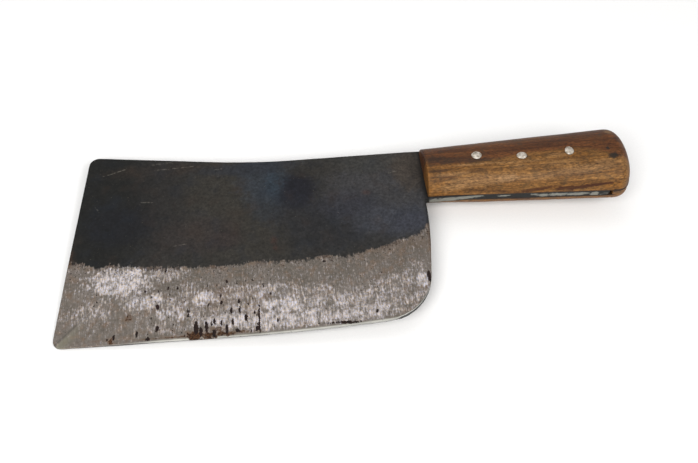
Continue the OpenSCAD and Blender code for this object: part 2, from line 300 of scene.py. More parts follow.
# Painted highlights where coarse grinding glints on the near side, in the same way
nearGlints = [
    (-167, -55.5, 34, 19, 1), (-144, -53, 24, 11, 0.5), (-157, -68.5, 17, 10, 0.8), (-182, -73, 26, 11, 0.5),
    (-134.7, -76, 11, 9, 0.7), (-122.5, -69, 14, 9, 1), (-142, -77, 15, 7, 0.8), (-119, -82, 24, 7, 0.7),
    (-107, -64.5, 13, 4.5, 0.6), (-89, -65.5, 22, 4.5, 0.6), (-109, -83, 34, 9, 0.85), (-82, -77, 32, 10, 1),
    (-82, -86, 32, 9, 0.7), (-50, -75.3, 24, 6, 0.7), (-67, -76, 18, 7, 0.8), (-68.5, -84.5, 16, 11, 0.95),
    (-53, -79.4, 13, 8, 0.8), (-44.8, -84.4, 16, 9, 0.95), (-36.4, -76, 11, 3.6, 0.7),
    (-30.4, -70.7, 6, 4, 0.7), (-17.4, -80, 12, 6, 0.6), (-24, -84, 18, 5, 0.35), (-15.9, -66, 7, 8, 0.5),
    (-8.6, -66.5, 6.5, 6, 1), (-26, -79, 9, 5, 0.35), (-8, -73, 6, 9, 0.45), (-165, -82, 40, 12, 0.12),
    (-60, -70, 50, 8, 0.25), (-150, -68.5, 16, 10, 0.85), (-40, -78, 76, 17, 0.5), (-58, -86, 66, 9, 0.85),
    (-90, -85, 44, 11, 0.95), (-18, -66, 30, 7, 0.4), (-14, -62, 14, 6, 0.35), (-30, -73, 26, 5, 0.6),
    (-19, -69, 12, 6, 0.6), (-12, -77, 14, 6, 0.6), (-20, -85, 26, 6, 0.45), (-128, -61, 22, 5, 0.4),
    (-103, -76, 20, 7, 0.65), (-75, -75, 150, 27, 0.28), (-100, -68, 40, 10, 0.6), (-130, -70, 32, 13, 0.55),
    (-134, -78, 24, 9, 0.6), (-70, -69, 44, 7, 0.45), (-25, -68, 22, 7, 0.5), (-9.5, -68, 8, 11, 0.95),
    (-97, -76, 18, 9, 0.65), (-100, -85, 24, 9, 0.75), (-140, -84, 26, 7, 0.45), (-40, -84, 34, 9, 0.95),
    (-12, -60, 14, 9, 0.4),
]

# Colours that forging left in the scale: x, y, width, length, hex, strength
forgeTints = [
    (-90, -10, 200, 150, "#262421", 1), (-188, 0, 70, 160, "#171715", 1),
    (-100, -14, 70, 70, "#2c2924", 0.8), (-150, 16, 60, 9, "#2b241e", 0.8),
    (-24, -8, 66, 60, "#323132", 0.9), (-30, 12, 44, 16, "#2f2e2a", 0.6), (-87, 5, 34, 38, "#282c31", 0.9),
    (-81.5, 1, 16, 22, "#252f38", 0.65), (-88, -15, 20, 22, "#24292f", 0.5),
    (-98, 13, 60, 9, "#23252a", 0.7), (-70.5, -4, 20, 27, "#14141a", 0.95),
    (-74, -10, 18, 14, "#16171e", 0.6), (-66, -22, 44, 24, "#1b1c21", 0.55),
    (-52, -36, 56, 24, "#1f1f20", 0.8), (-38, -20, 30, 16, "#292a30", 0.5),
    (-18, -30, 48, 21, "#303136", 0.95), (-12, -31, 22, 12, "#303139", 0.5),
    (-35, -41, 26, 10, "#262524", 0.6), (-8, 4, 20, 30, "#39322b", 0.8), (-148, -6, 34, 76, "#1f1d1c", 0.65),
    (-172, -8, 36, 90, "#121211", 0.45), (-125, -30, 44, 24, "#2a2523", 0.8),
    (-168, -20, 40, 26, "#131418", 0.7), (-45, -16, 30, 20, "#26262c", 0.5),
    (-33, -9.5, 5, 3.4, "#45291f", 0.3), (-85.5, -37, 3.4, 5, "#3d241c", 0.35),
    (-85, -42, 2.6, 3, "#3d241c", 0.3), (-112, -34, 18, 12, "#2a2321", 0.6),
    (-196, -38, 9, 12, "#3b2b20", 0.6), (-62, 9, 36, 10, "#26231f", 0.6),
]

# Thin light scratches in the scale: start, end, width, strength
scratches = [
    ((-179.5, 14.8), (-173, 16.3), 0.8, 0.28), ((-174, 16.2), (-166, 18.9), 0.8, 0.35),
    ((-158.5, -5.1), (-150, -5.9), 0.9, 0.25), ((-151, 16.6), (-126, 17.6), 1.0, 0.22),
    ((-152, 20.5), (-140, 21.5), 1.6, 0.15), ((-117, 13.6), (-112, 14.2), 1.2, 0.35),
    ((-182, -6), (-180, -9), 0.8, 0.3), ((-22, 2), (-14, 4), 1.0, 0.2), ((-140, -36), (-132, -35), 0.8, 0.2),
]

# Bare patches on the tang's edge between the scales: x, z, width, height, strength
tangPatches = [
    (4, -0.6, 12, 4.2, 1), (12, 0.1, 14, 4, 1), (21, 0.6, 14, 3, 1), (28, 1, 9, 2.2, 0.9),
    (42.6, 0.4, 7, 1.8, 0.8), (60, 0.8, 6, 1.8, 0.8), (65, -0.2, 7, 3, 0.9), (73, 0.1, 12, 2.8, 1),
    (83, 0, 12, 2.6, 1), (88, 0.3, 5, 2, 0.8), (93.4, -0.5, 4.2, 3.6, 1.6), (99, -0.6, 5, 2.2, 0.55),
]


def planLoops(node):  # closed loops in knife mm where the CAD node's walls meet its near side, longest first
    shape = bmesh.new()
    shape.from_mesh(frame["nodes"][node].data)
    bmesh.ops.transform(shape, matrix=knifeToRow.inverted(), verts=shape.verts)
    bmesh.ops.remove_doubles(shape, verts=shape.verts, dist=0.002)
    shape.normal_update()
    ways = {}
    for edge in shape.edges:
        if len(edge.link_faces) != 2:
            continue
        wall, top = sorted(edge.link_faces, key=lambda f: abs(f.normal.z))
        heights = [v.co.z for v in wall.verts]
        step = max(heights) - min(heights) < 0.15 and abs(wall.normal.x) > 0.9  # down to the tang
        if abs(wall.normal.z) < 0.1 and top.normal.z > 0.5 and not step:
            a, b = [(round(v.co.x, 2), round(v.co.y, 2)) for v in edge.verts]
            ways.setdefault(a, []).append(b)
            ways.setdefault(b, []).append(a)
    shape.free()
    loops = []
    while ways:
        here = next(iter(ways))
        loop = [here]
        while here in ways:
            there = ways[here].pop()
            ways[there].remove(here)
            for end in (here, there):
                if not ways.get(end, True):
                    del ways[end]
            here = there
            loop.append(here)
        loops.append(np.array(loop[:-1]))
    return sorted(loops, key=lambda l: -np.ptp(l[:, 0]))


def resampled(loop, step):  # a closed loop, anticlockwise, in steps no longer than step, its bends smoothed
    ahead = np.roll(loop, -1, 0)
    area = (loop[:, 0] * ahead[:, 1] - ahead[:, 0] * loop[:, 1]).sum() / 2
    if area < 0:
        loop = loop[::-1]
        ahead = np.roll(loop, -1, 0)
    before = np.roll(loop, 1, 0)
    inward, outward = loop - before, ahead - loop
    turned = inward[:, 0] * outward[:, 1] - inward[:, 1] * outward[:, 0]
    bend = np.abs(np.arctan2(turned, (inward * outward).sum(1)))
    points, sharp = [], []
    for i in range(len(loop)):
        parts = max(1, math.ceil(np.hypot(*outward[i]) / step))
        points += [loop[i] + outward[i] * k / parts for k in range(parts)]
        sharp += [bend[i] > math.radians(20)] + [False] * (parts - 1)
    points, sharp = np.array(points), np.array(sharp)
    for _ in range(3):
        middle = (np.roll(points, 1, 0) + np.roll(points, -1, 0)) / 2
        points[~sharp] = (points[~sharp] + middle[~sharp]) / 2
    return points


def outwardNormals(loop):
    along = np.roll(loop, -1, 0) - np.roll(loop, 1, 0)
    along /= np.hypot(along[:, 0], along[:, 1])[:, None]
    return np.stack([along[:, 1], -along[:, 0]], 1)


def insideLoop(points, loop):  # even-odd rule, a few thousand points at a time
    ax, ay = loop[:, 0], loop[:, 1]
    bx, by = np.roll(ax, -1), np.roll(ay, -1)
    rise = np.where(by == ay, 1e-9, by - ay)
    found = []
    for some in np.array_split(points, len(points) // 4000 + 1):
        x, y = some[:, 0:1], some[:, 1:2]
        hits = ((ay > y) != (by > y)) & (x < (bx - ax) * (y - ay) / rise + ax)
        found.append(hits.sum(1) % 2 == 1)
    return np.concatenate(found)


def steelPlan():  # flat triangles of the blade and tang, with each point's distance from the outline
    loops = planLoops("blade")
    outline = resampled(loops[0], blade["outlineStep"])
    normals = outwardNormals(outline)
    off = noiseAt(np.c_[outline, np.zeros(len(outline))], 11.0, 3.3) * blade["wobble"]
    off += blade["spineGrowth"] * np.clip(normals[:, 1], 0, 1) ** 2
    toeward = np.clip(-normals[:, 0], 0, 1) ** 2
    off += blade["toeGrowth"] * toeward * softStep(-outline[:, 0], *blade["toeFade"])
    fromCorner = np.hypot(*(outline - blade["toeCorner"]).T)
    off -= blade["toeTrim"] * (1 - softStep(fromCorner, 0, blade["toeTrimSize"]))
    outline += normals * (off * softStep(-outline[:, 0], *blade["heelFade"]))[:, None]
    bores = [resampled(loop, blade["outlineStep"]) for loop in loops[1:]]
    points, edges = [], []
    for loop in [outline - normals * gap for gap in blade["rings"]] + bores:
        first = len(points)
        points += list(loop)
        edges += [(first + i, first + (i + 1) % len(loop)) for i in range(len(loop))]
    low, high = outline.min(0), outline.max(0)
    fineTop = low[1] + blade["grindHeight"] + blade["fineMargin"]
    rowShare = 0.87  # of the step, for rows of even-sided triangles
    grid = []
    for step, bottom, top in ((blade["fineStep"], low[1], fineTop), (blade["coarseStep"], fineTop, high[1])):
        for row, y in enumerate(np.arange(bottom, top, step * rowShare)):
            grid += [(x, y) for x in np.arange(low[0] + step * (row % 2) / 2, high[0], step)]
    grid = np.array(grid)
    grid = grid[insideLoop(grid, outline - normals * blade["rings"][-1])]
    for bore in bores:
        grid = grid[np.hypot(*(grid - bore.mean(0)).T) > np.ptp(bore[:, 0]) / 2 + blade["boreMargin"]]
    tree = kdtree.KDTree(len(outline))
    for i, p in enumerate(outline):
        tree.insert((p[0], p[1], 0), i)
    tree.balance()
    clear = blade["rings"][-1] + blade["fineStep"] * 0.4
    points += [p for p in grid if tree.find((p[0], p[1], 0))[2] > clear]
    made = delaunay_2d_cdt([Vector(p) for p in points], edges, [], 1, 1e-4)
    flat = np.array([tuple(p) for p in made[0]])
    faces = np.array([f for f in made[2]])
    middles = flat[faces].mean(1)
    for bore in bores:
        outside = ~insideLoop(middles, bore)
        faces, middles = faces[outside], middles[outside]
    a, b, c = flat[faces[:, 0]], flat[faces[:, 1]], flat[faces[:, 2]]
    turned = (b[:, 0] - a[:, 0]) * (c[:, 1] - a[:, 1]) < (b[:, 1] - a[:, 1]) * (c[:, 0] - a[:, 0])
    faces[turned] = faces[turned][:, ::-1]
    near = [tree.find((p[0], p[1], 0)) for p in flat]
    gap = np.array([n[2] for n in near])
    facing = normals[[n[1] for n in near]]
    return flat, faces, gap, facing, low[1]


def steelHalf(flat, gap, facing, edgeY):
    # half the thickness, then from 0 to 1 the bevel, the way across it, the toe facet's tone with its painted
    # highlight below the crease, and the crease's painted shade
    x, y = flat[:, 0], flat[:, 1]
    half = np.interp(y, [edgeY, edgeY + blade["bevelHeight"], edgeY + blade["grindHeight"]],
                     [blade["edgeThickness"] / 2, blade["bevelThickness"] / 2, blade["thickness"] / 2])
    half = np.maximum(half, np.interp(y, [edgeY, edgeY + blade["stiffHeight"]], blade["stiffHalf"]))
    half += (blade["tangThickness"] / 2 - half) * softStep(x, *blade["tangStep"])
    down = -facing[:, 1] * (x < -4)  # 1 along the cutting edge, 0 along the toe and the heel
    straight = softStep(down, 0.93, 0.995)
    corner = softStep(down, 0.05, 0.4) * (1 - straight) * softStep(x, *blade["cornerFade"])
    half = np.maximum(half, (blade["cornerHalf"] - blade["cornerSlope"] * gap) * corner)
    width = np.interp(x, *zip(*blade["bevelWidth"])) * softStep(down, 0.02, 0.5) * (0.3 + 0.7 * straight)
    drop = straight * (half - blade["edgeThickness"] / 2) * np.clip(width / blade["bevelFull"], 0, 1) ** 2
    drop += (1 - straight) * blade["cornerDrop"]
    bevel = np.where(width > 0.05, np.clip(1 - gap / np.maximum(width, 0.05), 0, 1), 0)
    # the flat facet that slopes away below the crease at the toe
    (ax, ay), (bx, by) = blade["toeCrease"]
    below = ((x - ax) * (by - ay) - (y - ay) * (bx - ax)) / math.hypot(bx - ax, by - ay)
    facet = np.clip(below, 0, 9) * softStep(ax + blade["toeReach"] - x, 0, blade["toeReach"] * 0.8)
    half -= facet * blade["toeSlope"]
    half -= drop * bevel * (width > 0.05)
    # worn corners along spine, toe, heel and tang
    radius = np.minimum(blade["wornRadius"] * (1 - softStep(width, 0.1, 0.6)), half * 0.8)
    inset = np.clip(radius - gap, 0, None)
    half -= radius - np.sqrt(np.maximum(radius ** 2 - inset ** 2, 0))
    narrow = straight * (1 - softStep(width, 0.6, 1.4))
    newly = softStep(bevel, 0.0, 0.12) * softStep(width, 0.15, 0.4) * (1 - 0.6 * narrow)
    # the toe facet's greener grey, strongest just below the crease as a painted highlight, and a dark line of
    # painted shade along the crease
    facetTintAndHighlight = softStep(below, 0.2, 1.2) * (1 - softStep(below, 1.5, 8)) * softStep(-x, 181, 196) * 0.55
    crease = np.exp(-(below / 0.5) ** 2) * softStep(bx + 3 - x, 0, 6) * (y < by + 3)
    return np.maximum(half, 0.1), newly, bevel, facetTintAndHighlight, crease


def scattered(count, low, high, widths, lengths, seed):  # small marks at random in a box
    rng = random.Random(seed)
    return [(rng.uniform(low[0], high[0]), rng.uniform(low[1], high[1]), rng.uniform(*widths),
             rng.uniform(*lengths), rng.uniform(0.5, 1)) for _ in range(count)]


def tintColours(points):  # the forge scale's own colours, as one linear colour per point
    made = np.tile(linear("#2f2e2d"), (len(points), 1))
    for x, y, width, length, hexCode, strength in forgeTints:
        share = blobs(points, [(x, y, width, length, strength)], x, 0.3)[:, None]
        made = made * (1 - share) + np.array(linear(hexCode)) * share
    return made


def makeBlade(material):
    flat, faces, gap, facing, edgeY = steelPlan()
    half, bevel, across, facet, crease = steelHalf(flat, gap, facing, edgeY)
    inner = flat[:, 0] > -1
    sides, count = [], len(flat)
    specks = [mark for k, box in enumerate(blade["specks"]) for mark in scattered(*box, blade["seed"] + k)]
    for side in (1, -1):
        points = np.c_[flat, np.full(count, blade["thickness"] / 2 * side)]
        border = np.interp(flat[:, 0], *zip(*forgeLine))
        pits, rusts, glints = nearPits, nearRust, nearGlints
        if side < 0:  # the far side has the same kinds of marks at other places
            border += 2.5 * noiseAt(points, 30, 5.0)
            pits = [(-196 - x % 97, *rest) for x, *rest in nearPits[::2]]
            rusts = [(-206 - x, *rest) for x, *rest in nearRust]
            glints = [(-200 - x, *rest) for x, *rest in nearGlints]
        pit = np.maximum(blobs(points, pits, 4.0), blobs(points, specks, 9.0 * side) * 0.8)
        ground = border - flat[:, 1]
        hammer = noiseAt(points, blade["hammerSize"], 7.0 * side) + 0.4 * noiseAt(points, 9.0, 3.0 * side)
        strokes = noiseAt(points, blade["strokeSize"], 2.0 * side)
        scaleShare = 1 - softStep(ground, -1, 3)
        lift = (hammer * blade["hammerDepth"] * (0.25 + 0.75 * scaleShare) * softStep(gap, 0.5, 6)
                + strokes * blade["strokeDepth"] * (1 - scaleShare)
                - pit * blade["pitDepth"] * softStep(gap, 0, 0.5)
                + blade["scaleDepth"] * scaleShare * softStep(gap, 0.2, 1) - blade["scaleDepth"])
        height = np.maximum(half + np.where(inner, 0, lift), 0.1)
        # grime, with the painted shadow that the handle casts on the blade: a dark strip along the handle's
        # front end
        grime = softStep(flat[:, 0], -2.6 - 1.2 * softStep(-flat[:, 1], -14, -4), 0.4) * (flat[:, 0] < 1.5)
        sides.append({
            "points": np.c_[flat, height * side], "pit": pit, "ground": ground,
            "rust": blobs(points, rusts, 6.0, 0.5), "glint": blobs(points, glints, 11.0, 0.5),
            "grime": grime, "bevel": bevel, "across": across, "facet": facet, "crease": crease,
            "wall": np.zeros(count), "tint": tintColours(points),
        })
    quads = [tuple(int(i) for i in f) for f in faces]
    quads += [tuple(int(i) + count for i in f[::-1]) for f in faces]
    loose = {}
    for f in faces:
        for a, b in ((f[0], f[1]), (f[1], f[2]), (f[2], f[0])):
            if not loose.pop((b, a), None):
                loose[(a, b)] = True
    rim = sorted({i for pair in loose for i in pair})
    extra = {}
    rows = []
    for row, share in enumerate(blade["wallRows"]):
        rows.append({i: 2 * count + row * len(rim) + k for k, i in enumerate(rim)})
        for key in sides[0]:
            mixed = sides[0][key][rim] * (1 - share) + sides[1][key][rim] * share
            extra.setdefault(key, []).append(np.ones(len(rim)) if key == "wall" else mixed)
    levels = [{i: i for i in rim}] + rows + [{i: i + count for i in rim}]
    for upper, lower in zip(levels, levels[1:]):
        quads += [(int(upper[b]), int(upper[a]), int(lower[a]), int(lower[b])) for a, b in loose]
    everything = {key: np.concatenate([sides[0][key], sides[1][key], *extra[key]]) for key in sides[0]}
    flatWall = everything["points"][:, [0, 2, 2]] * (1, 1, 0)
    everything["bare"] = blobs(flatWall, tangPatches, 2.0, 0.5) * everything["wall"]
    piece = meshPiece("forged_blade", everything["points"], quads, material)
    for key, values in everything.items():
        if key not in ("points", "tint"):
            paint(piece, key, values)
    colours = piece.data.color_attributes.new("tint", "FLOAT_COLOR", "POINT")
    colours.data.foreach_set("color", everything["tint"].astype(np.float32).ravel())
    piece.data.set_sharp_from_angle(angle=math.radians(35))
    print("blade:", len(piece.data.vertices), "points,", len(piece.data.polygons), "faces")
    return piece


def scrape(tree, where, start, end, width):  # 1 along a thin straight scratch between two points, else 0
    middle = [(a + b) / 2 for a, b in zip(start, end)]
    run, rise = end[0] - start[0], end[1] - start[1]
    half = (math.hypot(run, rise) / 2, width / 2, 1000)  # through the whole thickness
    local = put(tree, "ShaderNodeMapping", {"vector_type": "TEXTURE"}, {
        "Vector": where, "Location": (*middle, 0), "Rotation": (0, 0, math.atan2(rise, run)), "Scale": half})
    away = put(tree, "ShaderNodeVectorMath", {"operation": "ABSOLUTE"}, {0: local})
    x, y, _ = list(put(tree, "ShaderNodeSeparateXYZ", links={0: away}).node.outputs)
    alongShare, acrossShare = [put(tree, "ShaderNodeMapRange", links={
        "Value": value, "From Min": full, "From Max": 1.0, "To Min": 1.0, "To Max": 0.0})
        for value, full in ((x, 0.75), (y, 0.2))]
    return put(tree, "ShaderNodeMath", {"operation": "MULTIPLY"}, {0: alongShare, 1: acrossShare})


# Noise patterns of the steel: size in mm along x, y and z, turn in degrees, detail, roughness, distortion.
# Grinding scratches are 0.1 mm wide; the finest drawn here are 0.45 mm, as fine as the picture can show.
steelPatterns = {
    "hair": ((0.45, 7, 2.5), (0, 0, 0), 3.0, 0.6, 0.15),
    "stroke": ((0.8, 3.4, 5 / 3), (0, 0, 5), 4.0, 0.66, 0.1),
    "tangBand": ((3.2, 10 / 3, 0.7), (0, 38, 0), 3.0, 0.6, 0.3),
    "patch": ((11, 11, 11), (0, 0, 0), 3.0, 0.5, 0.0),
    "lump": ((3.5, 3.5, 3.5), (0, 0, 0), 2.0, 0.5, 0.0),
    "mottle": ((1.5, 1.5, 1.5), (0, 0, 0), 4.0, 0.7, 0.0),
    "speck": ((0.8, 0.8, 0.8), (0, 0, 0), 1.0, 0.5, 0.0),
}

steelColours = {
    "brownBloom": "#35281f", "blueBloom": "#1b222c", "dust": "#5c574c", "scratch": "#8a8478",
    "groundDim": "#69625a", "groundBright": "#787069", "groundBrown": "#7b6552",
    # facet: greener grey with a painted highlight below the toe's crease; crease: a line of painted shade
    "facet": "#8b8977", "crease": "#55524b", "stain": "#76604e",
    # painted highlights: the colours of the grinding scratches' glints
    "glintWarm": "#cdbca8", "glintCool": "#ccccda",
    "oldRust": "#3f2c21", "rustDark": "#25170d", "rustLight": "#533824",
    "pitDark": "#151010", "pitLight": "#2a1b16",
    # wall: near black like the forge scale, and painted shade along the heel's edge; the last one: grime with
    # the painted shadow of the handle on the blade
    "wall": "#2a2a29", "bareTang": "#94938a", "grime": "#161514",
    # two passes of the stone: a dull line where the bevel starts, then two brighter ones
    "honed": [(0.02, "#817b72"), (0.25, "#8b867d"), (0.42, "#9c988f"), (0.56, "#c9c7bf"), (0.78, "#b0aea6"),
              (1.0, "#bab8b4")],
}


def forgedSteel():
    # Hand-forged carbon steel: black fire scale that is matt and bluish, over a band that coarse grinding has
    # left taupe grey, with painted highlights where it glints square to the edge, and with pits and rust
    # where it stayed wet
    material, tree = newMaterial("forgedCarbonSteel")
    marks = ("pit", "ground", "rust", "glint", "grime", "bevel", "across", "facet", "crease", "wall", "bare")
    where, read, patterns = knifePatterns(tree, marks, steelPatterns)
    hair, stroke, tangBand, patch, lump, mottle, speck = patterns
    tint = put(tree, "ShaderNodeAttribute", {"attribute_name": "tint"})
    shade = {name: linear(code) for name, code in steelColours.items() if name != "honed"}

    # black scale ends in a ragged line of short teeth along the grinding
    teeth = read["ground"]
    for pattern, reach in ((stroke, 4.8), (lump, 5.5), (mottle, 3.0), (patch, 4.0)):
        teeth = put(tree, "ShaderNodeMath", {"operation": "MULTIPLY_ADD"}, {0: pattern, 1: reach, 2: teeth})
    bare = put(tree, "ShaderNodeMapRange", {"interpolation_type": "SMOOTHSTEP"}, {
        "Value": teeth, "From Min": 7.6, "From Max": 9.2})
    offWall = put(tree, "ShaderNodeMath", {"operation": "SUBTRACT", "use_clamp": True}, {
        0: 1.0, 1: read["wall"]})
    # the tang's edge is rubbed bare in patches, slantwise
    ragged = put(tree, "ShaderNodeMath", {"operation": "MULTIPLY_ADD"}, {
        0: tangBand, 1: 1.8, 2: read["bare"]})
    tangBare = put(tree, "ShaderNodeMapRange", {"interpolation_type": "SMOOTHSTEP"}, {
        "Value": ragged, "From Min": 1.1, "From Max": 1.9, "To Max": 0.95})
    tangBare = put(tree, "ShaderNodeMath", {"operation": "MULTIPLY"}, {0: tangBare, 1: read["wall"]})

    # fire scale, with blue, brown and olive bloom a few millimetres across
    midTone, fineTone = [put(tree, "ShaderNodeMapRange", links={
        "Value": pattern, "From Min": 0.3, "From Max": 0.7, "To Min": 1 - swing, "To Max": 1 + swing})
        for pattern, swing in ((lump, 0.16), (mottle, 0.4))]
    tone = put(tree, "ShaderNodeMath", {"operation": "MULTIPLY"}, {0: midTone, 1: fineTone})
    scaleColour = put(tree, "ShaderNodeVectorMath", {"operation": "SCALE"}, {0: tint, "Scale": tone})
    for pattern, low, high, most, name in (
            (patch, 0.55, 0.75, 0.25, "brownBloom"), (patch, 0.45, 0.25, 0.25, "blueBloom"),
            (speck, 0.74, 0.8, 0.5, "dust")):
        share = put(tree, "ShaderNodeMapRange", links={
            "Value": pattern, "From Min": low, "From Max": high, "To Max": most})
        scaleColour = put(tree, "ShaderNodeMix", {"data_type": "RGBA"}, {
            "Factor": share, "A": scaleColour, "B": shade[name]})
    for start, end, width, strength in scratches:
        line = scrape(tree, where, start, end, width)
        broken = put(tree, "ShaderNodeMapRange", links={
            "Value": mottle, "From Min": 0.4, "From Max": 0.6, "To Max": strength})
        line = put(tree, "ShaderNodeMath", {"operation": "MULTIPLY"}, {0: line, 1: broken})
        scaleColour = put(tree, "ShaderNodeMix", {"data_type": "RGBA"}, {
            "Factor": line, "A": scaleColour, "B": shade["scratch"]})

    # ground band, lighter towards the edge
    steelTone = put(tree, "ShaderNodeMapRange", links={"Value": patch, "From Min": 0.3, "From Max": 0.7})
    steelColour = put(tree, "ShaderNodeMix", {"data_type": "RGBA"}, {
        "Factor": steelTone, "A": shade["groundDim"], "B": shade["groundBright"]})
    browned = put(tree, "ShaderNodeMapRange", links={
        "Value": lump, "From Min": 0.5, "From Max": 0.7, "To Max": 0.45})
    steelColour = put(tree, "ShaderNodeMix", {"data_type": "RGBA"}, {
        "Factor": browned, "A": steelColour, "B": shade["groundBrown"]})
    for value, low, high, dim, bright in (
            (hair, 0.3, 0.7, 0.86, 1.14), (mottle, 0.3, 0.7, 0.78, 1.22),
            (read["ground"], 12.0, 22.0, 1.0, 1.1)):
        tone = put(tree, "ShaderNodeMapRange", links={
            "Value": value, "From Min": low, "From Max": high, "To Min": dim, "To Max": bright})
        steelColour = put(tree, "ShaderNodeVectorMath", {"operation": "SCALE"}, {
            0: steelColour, "Scale": tone})
    stain = put(tree, "ShaderNodeMath", {"operation": "MULTIPLY"}, {0: read["rust"], 1: 0.75})
    # painted highlights: where the glint marks and the scratch noise add up, the colour is lightened to stand
    # for the grinding's glints
    grouped = put(tree, "ShaderNodeMapRange", links={
        "Value": lump, "From Min": 0.3, "From Max": 0.65, "To Min": 0.45, "To Max": 1.15})
    level = put(tree, "ShaderNodeMath", {"operation": "MULTIPLY"}, {0: read["glint"], 1: grouped})
    for pattern, share in ((stroke, 3.2), (mottle, 1.5)):
        level = put(tree, "ShaderNodeMath", {"operation": "MULTIPLY_ADD"}, {0: pattern, 1: share, 2: level})
    glint = put(tree, "ShaderNodeMapRange", {"interpolation_type": "SMOOTHSTEP"}, {
        "Value": level, "From Min": 2.4, "From Max": 3.9})
    glintTone = put(tree, "ShaderNodeMapRange", links={"Value": speck, "From Min": 0.35, "From Max": 0.65})
    paintedGlintColour = put(tree, "ShaderNodeMix", {"data_type": "RGBA"}, {
        "Factor": glintTone, "A": shade["glintWarm"], "B": shade["glintCool"]})
    honed = put(tree, "ShaderNodeValToRGB", {"stops": steelColours["honed"]}, {"Fac": read["across"]})
    honedTone = put(tree, "ShaderNodeMapRange", links={
        "Value": patch, "From Min": 0.35, "From Max": 0.6, "To Min": 0.8, "To Max": 1.04})
    honed = put(tree, "ShaderNodeVectorMath", {"operation": "SCALE"}, {0: honed, "Scale": honedTone})
    # the toe facet's colour holds a painted highlight below the crease, and the crease a dark line of painted
    # shade
    creaseShade = put(tree, "ShaderNodeMath", {"operation": "MULTIPLY"}, {0: read["crease"], 1: 0.6})
    for mask, over in ((read["facet"], shade["facet"]), (stain, shade["stain"]), (glint, paintedGlintColour),
                       (read["bevel"], honed), (creaseShade, shade["crease"])):
        steelColour = put(tree, "ShaderNodeMix", {"data_type": "RGBA"}, {
            "Factor": mask, "A": steelColour, "B": over})

    # a brown line of old rust in places where the scale ends
    past = put(tree, "ShaderNodeMath", {"operation": "SUBTRACT"}, {0: teeth, 1: 9.0})
    past = put(tree, "ShaderNodeMath", {"operation": "ABSOLUTE"}, {0: past})
    rim = put(tree, "ShaderNodeMapRange", links={
        "Value": past, "From Max": 1.3, "To Min": 0.6, "To Max": 0.0})
    rimPlaces = put(tree, "ShaderNodeMapRange", links={"Value": patch, "From Min": 0.45, "From Max": 0.6})
    rim = put(tree, "ShaderNodeMath", {"operation": "MULTIPLY"}, {0: rim, 1: rimPlaces})

    # rust and pits
    rustSum = put(tree, "ShaderNodeMath", {"operation": "MULTIPLY_ADD"}, {0: mottle, 1: 2.4, 2: read["rust"]})
    rustMask = put(tree, "ShaderNodeMapRange", {"interpolation_type": "SMOOTHSTEP"}, {
        "Value": rustSum, "From Min": 1.65, "From Max": 2.2})
    rustTone = put(tree, "ShaderNodeMapRange", links={"Value": speck, "From Min": 0.4, "From Max": 0.68})
    rustColour, pitColour = [put(tree, "ShaderNodeMix", {"data_type": "RGBA"}, {
        "Factor": rustTone, "A": shade[name + "Dark"], "B": shade[name + "Light"]})
        for name in ("rust", "pit")]
    pitSum = read["pit"]
    for pattern, share in ((mottle, 1.6), (stroke, -1.5)):
        pitSum = put(tree, "ShaderNodeMath", {"operation": "MULTIPLY_ADD"}, {0: pattern, 1: share, 2: pitSum})
    pitMask = put(tree, "ShaderNodeMapRange", {"interpolation_type": "SMOOTHSTEP"}, {
        "Value": pitSum, "From Min": 0.4, "From Max": 0.62})
    # black flecks that the grinding missed, under the border of the scale
    fleckBelt = put(tree, "ShaderNodeMapRange", {"interpolation_type": "SMOOTHSTEP"}, {
        "Value": read["ground"], "From Min": 18.0, "From Max": 2.0, "To Max": 0.09})
    fleckSum = put(tree, "ShaderNodeMath", {"operation": "ADD"}, {0: speck, 1: fleckBelt})
    fleckSum = put(tree, "ShaderNodeMath", {"operation": "MULTIPLY_ADD"}, {0: patch, 1: 0.25, 2: fleckSum})
    fleckMask = put(tree, "ShaderNodeMapRange", {"interpolation_type": "SMOOTHSTEP"}, {
        "Value": fleckSum, "From Min": 0.858, "From Max": 0.908, "To Max": 0.85})
    pitMask = put(tree, "ShaderNodeMath", {"operation": "MAXIMUM"}, {0: pitMask, 1: fleckMask})
    pitMask = put(tree, "ShaderNodeMath", {"operation": "MULTIPLY"}, {0: pitMask, 1: bare})

    # the layers over each other, with the walls and the handle's grime last: the walls near black as forge
    # scale and as painted shade on the heel's edge, the grime with the painted shadow of the handle
    wallScaleAndShadeMask, grimeAndShadeMask = [put(tree, "ShaderNodeMath", {"operation": "MULTIPLY"}, {0: read[name], 1: 0.9})
                           for name in ("wall", "grime")]
    colour = scaleColour
    for mask, over in ((bare, steelColour), (rim, shade["oldRust"]), (rustMask, rustColour),
                       (pitMask, pitColour), (wallScaleAndShadeMask, shade["wall"]), (tangBare, shade["bareTang"]),
                       (grimeAndShadeMask, shade["grime"])):
        colour = put(tree, "ShaderNodeMix", {"data_type": "RGBA"}, {"Factor": mask, "A": colour, "B": over})

